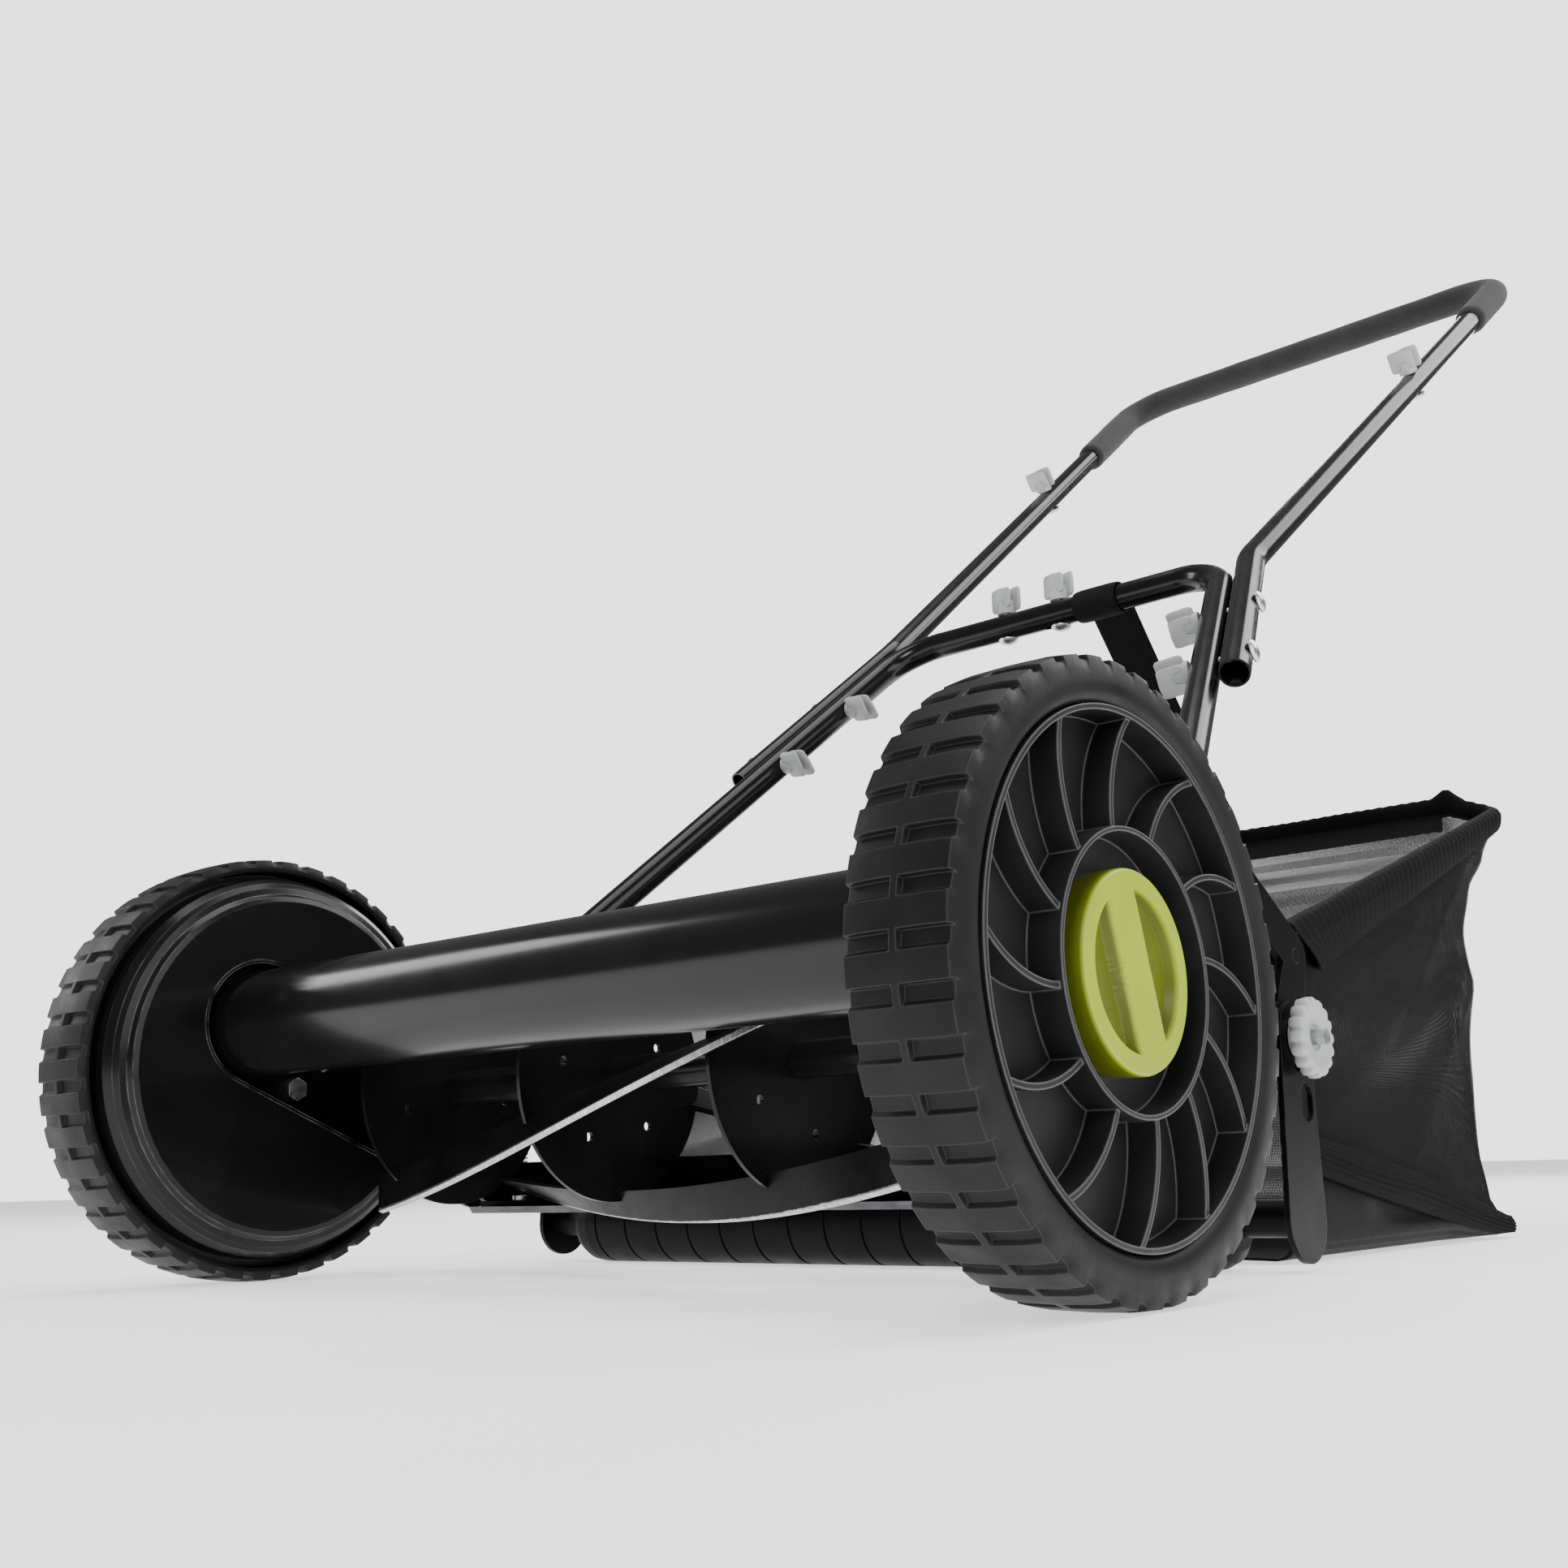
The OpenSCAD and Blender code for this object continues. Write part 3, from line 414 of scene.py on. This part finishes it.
def rounded(points, bend, steps=8):
    """The points of a path with its corners rounded to the radius bend."""
    path = [points[0]]
    for a, b, c in zip(points, points[1:], points[2:]):
        into, out = (b - a).normalized(), (c - b).normalized()
        turn = into.angle(out)
        reach = bend * math.tan(turn / 2)
        middle = b + (out - into).normalized() * bend / math.cos(turn / 2)
        start, axis = b - into * reach - middle, into.cross(out).normalized()
        for i in range(steps + 1):
            path.append(middle + Quaternion(axis, turn * i / steps) @ start)
    return path + [points[-1]]


def spaced(path, step):
    """The path's points at even steps."""
    made, left = [path[0]], step
    for a, b in zip(path, path[1:]):
        length = (b - a).length
        at = left
        while at < length:
            made.append(a.lerp(b, at / length))
            at += step
        left = at - length
    if (made[-1] - path[-1]).length > step * 0.3:
        made.append(path[-1])
    return made


def frames(path, up):
    """For each point of a path: its direction and two crosswise directions that don't twist."""
    made = []
    side = None
    for i, p in enumerate(path):
        way = (path[min(i + 1, len(path) - 1)] - path[max(i - 1, 0)]).normalized()
        side = way.cross(up).normalized() if side is None else (side - way * side.dot(way)).normalized()
        made.append((p, way, side, side.cross(way)))
    return made


def swept(path, section, up=Vector((0, 0, 1)), caps=True):
    """section(i, share) gives the ring's points as (sideways, upwards) pairs at point i of the path."""
    rings = []
    total = len(path) - 1
    for i, (p, way, side, top) in enumerate(frames(path, up)):
        rings.append([p + side * a + top * b for a, b in section(i, i / total)])
    return loft(rings, caps=caps)


def round_turn(count):
    """Evenly spaced angles once round."""
    return [2 * math.pi * k / count for k in range(count)]


def circle(radius, count=16):
    return [(radius * math.cos(a), radius * math.sin(a)) for a in round_turn(count)]


def flipped(verts_faces):
    """The mirror image on the mower's other side."""
    verts, faces = verts_faces
    return [mirrored(Vector(v)) for v in verts], [f[::-1] for f in faces]


def both_sides(verts_faces):
    return joined([verts_faces, flipped(verts_faces)])


def strip_uvs(verts, around, step_along, step_around):
    """UVs in metres for a skin made of rings that have the same number of points."""
    return [((i // around) * step_along, (i % around) * step_around) for i in range(len(verts))]


# ---------- tyres ----------

tyre_low, tyre_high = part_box("tyre_left")
tread_r = tyre_high.z - axle.z
lugs_round = 42
lug_depth = 0.0025


def tyre_mesh():
    """Two rows of square lugs with a thin rib between them, on a round-shouldered carcass."""
    x0, x1 = tyre_low.x, tyre_high.x
    middle = (x0 + x1) / 2
    # across the tread: (x, share of the lug depth cut away between the lugs, drop of the rounded shoulder)
    across = [(x0, 0.8, 0.0035), (x0 + 0.0008, 1, 0.0012), (x0 + 0.008, 1, 0.0003), (middle - 0.0023, 1, 0),
              (middle - 0.0015, 0, 0), (middle, 0, 0), (middle + 0.0015, 0, 0), (middle + 0.0023, 1, 0),
              (x1 - 0.008, 1, 0.0003), (x1 - 0.0008, 1, 0.0012), (x1, 0.8, 0.0035)]
    # the side walls and the bore: (x, distance below the tread)
    wall_out = [(x1 + 0.0004, 0.0075), (x1 + 0.0011, 0.0115), (x1 + 0.0009, 0.0155), (x1 - 0.0002, 0.0188),
                (x1 - 0.002, 0.0205)]
    bore = [(x0 + 0.0305, 0.0205), (x0 + 0.0305, 0.0088), (x0 + 0.003, 0.0088)]
    wall_in = [(x0 + 0.0005, 0.0082), (x0 - 0.0003, 0.0068), (x0 - 0.0003, 0.0055)]
    rings = []
    for start in round_turn(lugs_round):
        # round the tread: (share of one lug and its gap, share of the lug depth)
        for share, low in ((0.0, 0), (0.3, 0), (0.6, 0), (0.625, 1), (0.8, 0.95), (0.93, 0.8)):
            a = start + 2 * math.pi * share / lugs_round
            ring = [(x, tread_r - drop - lug_depth * low * cut) for x, cut, drop in across]
            ring += [(x, tread_r - d) for x, d in wall_out + bore + wall_in]
            rings.append([Vector((x, axle.y + r * math.cos(a), axle.z + r * math.sin(a))) for x, r in ring])
    return loft(rings, closed_ring=True, closed_path=True)


tyre = tyre_mesh()
piece("tyre_tread_left", *tyre, "wheel_left", rubber, "tyre_rubber", ["tyre_left"], crease=32)
piece("tyre_tread_right", *flipped(tyre), "wheel_right", rubber, "tyre_rubber", ["tyre_right"], crease=32)

# ---------- hub caps ----------

cap_low, cap_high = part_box("hub_cap_left")
cap_r = cap_high.z - axle.z
cap_points = 240


def cap_mesh():
    """A round cap with a raised rim, a raised bar across it and a hollow on each side of the bar."""
    top, rings = cap_high.x, []
    # as shares of the cap's radius
    half_bar, hollow_r = 0.25, 0.8
    hollow_depth = 0.0056
    for share in [0.0, 0.08, 0.16] + [0.22 + 0.02 * i for i in range(30)] + [0.88, 0.94, 0.97]:
        ring = []
        for y, z in circle(share, cap_points):
            out = max(0.0, min(1.0, (hollow_r - share) / 0.035))
            off = max(0.0, min(1.0, (abs(y * 0.96 + z * 0.28) - half_bar) / 0.045))
            ring.append(Vector((top - hollow_depth * min(out, off), axle.y + cap_r * y, axle.z + cap_r * z)))
        rings.append(ring)
    # over the rounded rim, down the side and under the face
    for x, share in ((top - 0.0004, 0.988), (top - 0.0014, 1.0), (top - 0.006, 1.0), (cap_low.x, 1.0),
                     (cap_low.x, 0.93), (top - 0.0085, 0.93), (top - 0.0085, 0.0)):
        rings.append([Vector((x, axle.y + y, axle.z + z)) for y, z in circle(cap_r * share, cap_points)])
    return loft(rings)


cap = cap_mesh()
piece("hub_disc_left", *cap, "wheel_left", lime, "lime_plastic", ["hub_cap_left"], crease=28)
piece("hub_disc_right", *flipped(cap), "wheel_right", lime, "lime_plastic", ["hub_cap_right"], crease=28)

# ---------- springs, studs and knobs ----------

spring_low, spring_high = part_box("adjuster_springs")
spring_wire = 0.0009


def spring_mesh():
    """The left coil spring round its adjuster screw."""
    x, y = spring_high.x - 0.0062, (spring_low.y + spring_high.y) / 2
    r, coils, per_coil = 0.0053, 9, 20
    rise = (spring_high.z - spring_low.z - 2 * spring_wire) / (coils * per_coil)
    path = []
    for i in range(coils * per_coil + 1):
        a = 2 * math.pi * i / per_coil
        path.append(Vector((x + r * math.cos(a), y + r * math.sin(a), spring_low.z + spring_wire + rise * i)))
    return swept(path, lambda i, share: circle(spring_wire, 8))


piece("coil_springs", *both_sides(spring_mesh()), "chassis", zinc, "zinc", ["adjuster_springs"])

knob_low, knob_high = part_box("star_knob_left")
knob_at = joint_at["knob_left_turn"]


def knob_mesh():
    """A scalloped disc with finger ridges round a sunk middle, on its sleeve."""
    ridges, notch = 16, 0.12
    knob_r = knob_high.z - knob_at.z

    def ring(x, share, wave):
        made = []
        for a in round_turn(144):
            r = knob_r * share * (1 - wave * notch * (0.5 - 0.5 * math.cos(ridges * a)) ** 2)
            made.append(Vector((x, knob_at.y + r * math.cos(a), knob_at.z + r * math.sin(a))))
        return made

    top, low = knob_high.x, knob_low.x
    # from the sleeve's foot over the rim to the sunk middle: (x, share of the radius, share of the notches)
    profile = [(low, 0.2, 0), (low, 0.48, 0), (top - 0.0085, 0.5, 0), (top - 0.008, 0.9, 1),
               (top - 0.007, 0.985, 1), (top - 0.0045, 1.0, 1), (top - 0.0018, 0.985, 1),
               (top - 0.0005, 0.93, 1.1), (top - 0.0001, 0.84, 0.9), (top - 0.0004, 0.72, 0.5),
               (top - 0.0014, 0.6, 0.15), (top - 0.0018, 0.46, 0), (top - 0.0018, 0.34, 0),
               (top - 0.0034, 0.31, 0), (top - 0.0034, 0.2, 0)]
    return loft([ring(*spot) for spot in profile], closed_path=True)


knob = knob_mesh()
piece("knob_disc_left", *knob, "knob_left", pale, "pale_plastic", ["star_knob_left"], crease=60)
piece("knob_disc_right", *flipped(knob), "knob_right", pale, "pale_plastic", ["star_knob_right"], crease=60)

# ---------- handle: the same corner points as the CAD tubes ----------

tube_r = 0.010
pivot = pt(246, 158, 174)
waist = pt(141, 492, 468)
grip_corner = pt(205, 1057, 903)
low_way = (waist - pivot).normalized()
step_way = (Vector((1, 0, 0)) - low_way * low_way.x).normalized()
step = step_way * (2 * tube_r + 0.0003)
mid_bend = waist + step
up_way = (grip_corner - mid_bend).normalized()
up_normal = Vector((1, 0, 0)).cross(up_way).normalized()
low_length = (waist - pivot).length
up_bolt = mid_bend + up_way * 0.395
waist_bolts = [pivot + low_way * (low_length - s) + step / 2 for s in (0.167, 0.087)]
cross_bolts = [Vector((x * MM, waist.y, waist.z)) for x in (-43, 5)]
nut_half = 2 * tube_r + 0.00015
cross_wings = Vector((math.cos(math.radians(16)), -math.sin(math.radians(16)), 0))


def bolt_mesh(middle, way, half):
    """A domed carriage bolt: its head and its shank."""
    head = [(0.0039, 0), (0.0039, 0.0015), (0.0034, 0.0042), (0.0022, 0.0066), (0.0008, 0.0076), (0, 0.0075),
            (0, 0)]
    dome = [(-half - height, r) for height, r in head]
    shank = [(0.001 - half, 0), (0.001 - half, 0.003), (half + 0.0055, 0.003), (half + 0.006, 0.0024),
             (half + 0.006, 0)]
    return joined([turned(dome, middle, way, 28), turned(shank, middle, way, 16)])


def wing_mesh(base, way, across):
    """A moulded wing nut: a hub with two flat square paddles, one on each side of it."""
    way, across = way.normalized(), across.normalized()
    thick_way = way.cross(across)
    hub = [(0, 0.0031), (0, 0.0072), (0.0012, 0.0076), (0.0105, 0.0066), (0.0118, 0.0054), (0.0118, 0.0031)]
    parts = [turned(hub, base, way, 28)]
    for end in (1, -1):
        rings = []
        # along the paddle: (across, foot height, top height, half thickness, sideways place)
        for a, low, high, thick, aside in (
                (-0.0088, 0.0060, 0.0186, 0.0010, 0.0042), (-0.0076, 0.0050, 0.0204, 0.0016, 0.0042),
                (0.0020, 0.0028, 0.0218, 0.0018, 0.0042), (0.0100, 0.0030, 0.0218, 0.0017, 0.0038),
                (0.0116, 0.0042, 0.0206, 0.0014, 0.0034), (0.0121, 0.0058, 0.0190, 0.0008, 0.0032)):
            edge = min(0.0016, (high - low) / 4)
            half_ring = [(low, 0.5), (low + edge, 1), (high - edge, 1), (high, 0.5)]
            section = half_ring + [(h, -t) for h, t in half_ring[::-1]]
            middle = base + across * a * end
            rings.append([middle + way * h + thick_way * end * (aside + thick * t) for h, t in section])
        parts.append(loft(rings, caps=True))
    return joined(parts)


bolts, wings = [], []
for side in (Vector, mirrored):
    for p in waist_bolts:
        bolts.append(bolt_mesh(side(p), side(-step_way), nut_half))
        wings.append(wing_mesh(side(p - step_way * nut_half), side(-step_way), side(step_way.cross(low_way))))
    bolts.append(bolt_mesh(side(up_bolt), side(up_normal), tube_r))
    wings.append(wing_mesh(side(up_bolt + up_normal * tube_r), side(up_normal), Vector((1, 0, 0))))
for p in cross_bolts:
    bolts.append(bolt_mesh(p, Vector((0, 0, 1)), tube_r))
    wings.append(wing_mesh(p + Vector((0, 0, tube_r)), Vector((0, 0, 1)), cross_wings))
piece("carriage_bolts", *joined(bolts), "handle", zinc, "zinc", ["handle_bolts"])
piece("wing_nuts_moulded", *joined(wings), "handle", pale, "pale_plastic", ["wing_nuts"], crease=45)

# ---------- foam grip ----------

foam_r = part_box("foam_grip")[1].z - grip_corner.z
foam_left, foam_right = grip_corner - up_way * 0.13, mirrored(grip_corner - up_way * 0.18)
foam_step = 0.004
foam_path = spaced(rounded([foam_left, grip_corner, mirrored(grip_corner), foam_right], 0.046, 12), foam_step)


def foam_section(i, share):
    """A soft tube whose surface is a little uneven and whose ends are rounded over."""
    from_end = min(i, len(foam_path) - 1 - i) * foam_step
    close = max(0.0, 1 - from_end / 0.006)
    ring = []
    for a, b in circle(1.0, 40):
        lump = noise.noise(Vector((a, b, i * 0.09)) * 1.7) * 0.00035
        r = foam_r - 0.0004 + lump - 0.003 * close * close
        ring.append((a * r, b * r))
    return ring


foam_tube = swept(foam_path, foam_section, Vector((0, -0.6, 0.8)))
grip = piece("grip_sleeve", *foam_tube, "handle", foam, "grip_foam", ["foam_grip"], crease=60)

# ---------- grass bag: mesh walls, tray, sleeves and strap ----------

rim_front, rim_corner, rim_back = pt(240, 324, 181), pt(240, 712, 304), pt(204, 715, 318)
rim_bend = 0.016
rim_step = 0.006
corners = [rim_front, rim_corner, rim_back, mirrored(rim_back), mirrored(rim_corner), mirrored(rim_front)]
rim = spaced(rounded(corners, rim_bend, 6), rim_step)
tray_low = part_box("bag_floor")[0]
seam_front, seam_back = pt(239, 300, 56), pt(244, 612, 5)
wall_height = 0.3
# how far the bag's back hangs in front of the straight line from rim to tray, by share of the way down
hollow = [(0, 0), (0.1, 0.02), (0.2, 0.047), (0.32, 0.058), (0.5, 0.052), (0.68, 0.037), (0.82, 0.037),
          (0.92, 0.028), (1, 0)]


def share_of(value, start, end):
    """How far value lies from start to end, from 0 to 1."""
    return min(1.0, max(0.0, (value - start) / (end - start)))


def between(table, t):
    """The table's value at t, with an easy curve from each entry to the next."""
    for (a, va), (b, vb) in zip(table, table[1:]):
        if t <= b:
            s = (t - a) / (b - a)
            return va + (vb - va) * s * s * (3 - 2 * s)
    return table[-1][1]


def wall_point(top, t):
    """A point of the wall below the rim point top, t of the way down to the tray."""
    along = share_of(top.y, rim_front.y, rim_corner.y)
    on_side = abs(top.x) > rim_back.x + 0.012
    if on_side:
        foot = seam_front.lerp(seam_back, along)
    else:
        foot = Vector((seam_back.x * abs(top.x) / rim_back.x, seam_back.y, seam_back.z))
        foot.x = min(foot.x, seam_back.x)
    foot.x = math.copysign(foot.x, top.x) if abs(top.x) > 1e-6 else 0.0
    start = Vector((top.x, top.y, top.z - 0.004))
    p = start.lerp(foot, t)
    p.y -= between(hollow, t) * along ** 5
    midway = math.sin(math.pi * t)
    if on_side:
        # the side walls belly in and carry soft folds that fan out from the rear corner
        belly = 0.006 * midway * math.sin(math.pi * min(1, along * 1.05))
        fan = 0.0085 * midway * math.sin(9 * math.atan2(p.y - rim_corner.y - 0.03, rim_corner.z + 0.02 - p.z))
        p.x -= math.copysign(belly + fan, p.x)
    else:
        p.y -= 0.006 * midway * (1 + noise.noise(Vector((p.x * 9, t * 2.5, 4.7))))
    return p


down = 45
wall_verts, wall_faces = loft([[wall_point(top, k / (down - 1)) for k in range(down)] for top in rim],
                              closed_ring=False)
wall_uvs = strip_uvs(wall_verts, down, rim_step, wall_height / (down - 1))
wall = piece("bag_mesh_wall", wall_verts, wall_faces, "bag", mesh_cloth, "mesh_cloth",
             ["bag_side_left", "bag_side_right", "bag_back"], wall_uvs, crease=180)
thick = wall.modifiers.new("thickness", "SOLIDIFY")
thick.thickness, thick.offset = 0.0009, 0


def seam_height(y):
    """Height of the tray's top edge at y."""
    return seam_front.z + (seam_back.z - seam_front.z) * share_of(y, seam_front.y, seam_back.y)


def tray_mesh():
    """The smooth nylon tray: an almost flat floor and two low triangular sides, with rounded corners."""
    rings, count, half = [], 56, 0.2392
    for i in range(count + 1):
        y = tray_low.y + (seam_back.y - tray_low.y) * i / count
        top = max(seam_height(y), tray_low.z + 0.003)
        bend = min(0.010, (top - tray_low.z) * 0.6)
        ring = []
        # down the side, round its foot and in to the middle of the floor
        for k in range(7):
            z = top + (tray_low.z + bend - top) * k / 6
            wave = 0.0016 * math.sin(26 * y + 2.2) * math.sin(math.pi * k / 6)
            ring.append((half - wave, z))
        for k in range(1, 7):
            a = math.pi / 2 * k / 6
            ring.append((half - bend + bend * math.cos(a), tray_low.z + bend - bend * math.sin(a)))
        for k in range(1, 25):
            x = (half - bend) * (1 - k / 24)
            lift = 0.0011 * (1 + noise.noise(Vector((x * 14, y * 14, 3.1)))) * min(1, k / 5)
            ring.append((x, tray_low.z + lift))
        full = ring + [(-x, z) for x, z in ring[-2::-1]]
        rings.append([Vector((x, y, z)) for x, z in full])
    verts, faces = loft(rings, closed_ring=False)
    uvs = [(v.x + (0.1 if v.z > tray_low.z + 0.01 else 0), v.y + v.z) for v in verts]
    return verts, faces, uvs


tray_verts, tray_faces, tray_uvs = tray_mesh()
tray = piece("bag_tray", tray_verts, tray_faces, "bag", tray_cloth, "floor_cloth", ["bag_floor"], tray_uvs,
             crease=60)
shell = tray.modifiers.new("thickness", "SOLIDIFY")
shell.thickness, shell.offset = 0.0012, 1


hem_mouth = rim_front + (rim_front - rim_corner).normalized() * 0.01
hem_corners = [hem_mouth, rim_corner, rim_back, mirrored(rim_back), mirrored(rim_corner), mirrored(hem_mouth)]
hem_step = 0.003
hem_path = spaced(rounded(hem_corners, rim_bend, 8), hem_step)
hem_round = 28


def hem_section(i, share):
    """The sleeve round the wire: loose at the front, close at the rear corners, puckered by stitches."""
    p = hem_path[i]
    front = 1 - share_of(p.y, rim_front.y, rim_corner.y)
    back = 1.0 if abs(p.x) < rim_back.x - 0.01 else 0.0
    below = (0.0065 + 0.0125 * max(front ** 0.8, 0.62 * back)) * 1.55
    above = 0.0062 + 0.007 * math.exp(-((abs(p.x) - rim_back.x) ** 2 + (p.y - rim_back.y) ** 2) / 0.007 ** 2)
    wide = 0.0062 - 0.0012 * back
    pucker = 0.0006 * math.sin(i * 2.1) + 0.0012 * noise.noise(Vector((i * 0.05, 1.3, 0.2)))
    ring = []
    for a in round_turn(hem_round):
        sag = noise.noise(Vector((i * 0.03, math.sin(a), math.cos(a)))) * 0.0016
        tall = below if math.sin(a) < 0 else above
        ring.append(((wide + pucker + sag) * math.cos(a), tall * math.sin(a) + pucker * 0.5))
    return ring


def hem_mesh():
    """The sleeve, with an open mouth at each front end that is cut back at the bottom."""
    verts = swept(hem_path, hem_section)[0]
    count = len(hem_path)
    rings = [verts[i * hem_round:(i + 1) * hem_round] for i in range(count)]
    way_front = (hem_path[1] - hem_path[0]).normalized()
    way_back = (hem_path[-2] - hem_path[-1]).normalized()
    for i, middle in enumerate(hem_path):
        for way, from_end in ((way_front, i), (way_back, count - 1 - i)):
            fade = max(0.0, 1 - from_end * hem_step / 0.09)
            if fade:
                rings[i] = [v + way * fade * 1.25 * max(0.0, middle.z - v.z) for v in rings[i]]

    def mouth(ring, way):
        middle = sum(ring, Vector()) / len(ring)
        return [[middle + (v - middle) * k + way * depth for v in ring] for k, depth in
                ((0.55, 0.035), (0.8, 0.03), (0.86, 0.012), (0.9, 0.0))]

    rings = mouth(rings[0], way_front) + rings + mouth(rings[-1], way_back)[::-1]
    verts, faces = loft(rings, caps=True)
    return verts, faces, strip_uvs(verts, hem_round, 0.004, 0.0022)


hem_verts, hem_faces, hem_uvs = hem_mesh()
piece("bag_rim_sleeve", hem_verts, hem_faces, "bag", hem_cloth, "hem_cloth", ["bag_hem"], hem_uvs, crease=80)


def band_mesh():
    """The ribbed band sewn over the seam between the left wall and the tray."""
    count, across, band_over = 90, 29, 0.006
    rings = []
    for i in range(count + 1):
        s = i / count
        y = seam_front.y - band_over + (seam_back.y - seam_front.y + 2 * band_over) * s
        wide = 0.020 + 0.006 * math.sin(math.pi * s) - 0.006 * s
        ring = []
        for k in range(across):
            w = k / (across - 1)
            rib = 0.00055 * math.sin(w * 7 * 2 * math.pi) * math.sin(math.pi * w)
            z = seam_height(y) - wide * 0.35 + wide * w + 0.001 * math.sin(11 * s + 2) * math.sin(math.pi * w)
            x = seam_back.x + 0.0016 + 0.0028 * math.sin(math.pi * w) + rib
            ring.append(Vector((x, y, max(z, tray_low.z + 0.0006 * k / across))))
        ring += [Vector((seam_back.x - 0.0015, v.y, v.z)) for v in (ring[-1], ring[across // 2], ring[0])]
        rings.append(ring)
    return loft(rings, caps=True), len(rings[0])


band, band_around = band_mesh()
band_uvs = strip_uvs(band[0], band_around, 0.004, 0.001)
for side_name, side_band in (("left", band), ("right", flipped(band))):
    piece("bag_seam_band_" + side_name, *side_band, "bag", hem_cloth, "hem_cloth", (), band_uvs, crease=60)

# ---------- strap ----------

strap_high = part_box("bag_strap")[1]
strap_half = 0.018
strap_middle = strap_high.x - strap_half
# the radius of the loop's middle line round the bar
loop_r = tube_r + 0.0016
strap_end = Vector((0, rim_back.y - 0.002, rim_back.z + 0.0118))
strap_lean = 0.032
strap_step = 0.004
strap_thick = 0.0019


def strap_mesh():
    """Ribbed webbing round the crossbar and down to the bag's rear rim, sewn back on itself below the bar."""
    bar = Vector((0, waist.y, waist.z))
    way = (strap_end - bar).normalized()
    up = Vector((0, -way.z, way.y))
    loop = []
    for k in range(41):
        a = -2 * math.pi * 0.94 * (1 - k / 40)
        loop.append(bar + (up * math.cos(a) - way * math.sin(a)) * loop_r)
    count = int((strap_end - loop[-1]).length / strap_step) - 1
    tail = [loop[-1] + way * strap_step * (i + 1) - up * 0.004 * math.sin(math.pi * i / count)
            for i in range(count)]
    line = loop + tail
    # across the webbing, which is ribbed on its outer face and thinner at its edges
    across = [-1 + 2 * k / 24 for k in range(25)]
    rings = []
    for i, p in enumerate(line):
        a, b = line[max(i - 1, 0)], line[min(i + 1, len(line) - 1)]
        normal = Vector((1, 0, 0)).cross(b - a).normalized()
        lean = strap_lean * max(0, i - len(loop)) / count
        upper, lower = [], []
        for w in across:
            middle = p + Vector((strap_middle + w * strap_half - lean, 0, 0))
            half = strap_thick / 2 * (1 - 0.7 * w ** 8)
            upper.append(middle + normal * (half + 0.00018 * math.cos(w * 8 * math.pi)))
            lower.append(middle - normal * half)
        rings.append(upper + lower[::-1])
    verts, faces = loft(rings, caps=True)
    around = 2 * len(across)
    uvs = [((i % around) * 0.0015, (i // around) * strap_step) for i in range(len(verts))]
    return verts, faces, uvs, strap_step * len(line)


*strap_shape, strap_uvs, strap_length = strap_mesh()
strap = piece("strap_webbing", *strap_shape, "strap", webbing, "webbing", ["bag_strap"], strap_uvs, crease=60)

# ---------- floor ----------

floor_mesh = bpy.data.meshes.new("studio_floor")
floor_mesh.from_pydata([(-14, -14, 0), (14, -14, 0), (14, 14, 0), (-14, 14, 0)], [], [(0, 1, 2, 3)])
floor = bpy.data.objects.new("studio_floor", floor_mesh)
ground = Shade("studio_floor", Roughness=0.9, Specular_IOR_Level=0.1, Emission_Strength=1.0,
               Emission_Color=rgb(1, 1, 1))
pale_grey = ground.mix(ground.noise(3, 3), rgb(0.86, 0.86, 0.86), rgb(0.9, 0.9, 0.9))
ground.put(ground.shader.inputs["Base Color"], pale_grey)
floor_mesh.materials.append(ground.material)
bpy.context.scene.collection.objects.link(floor)
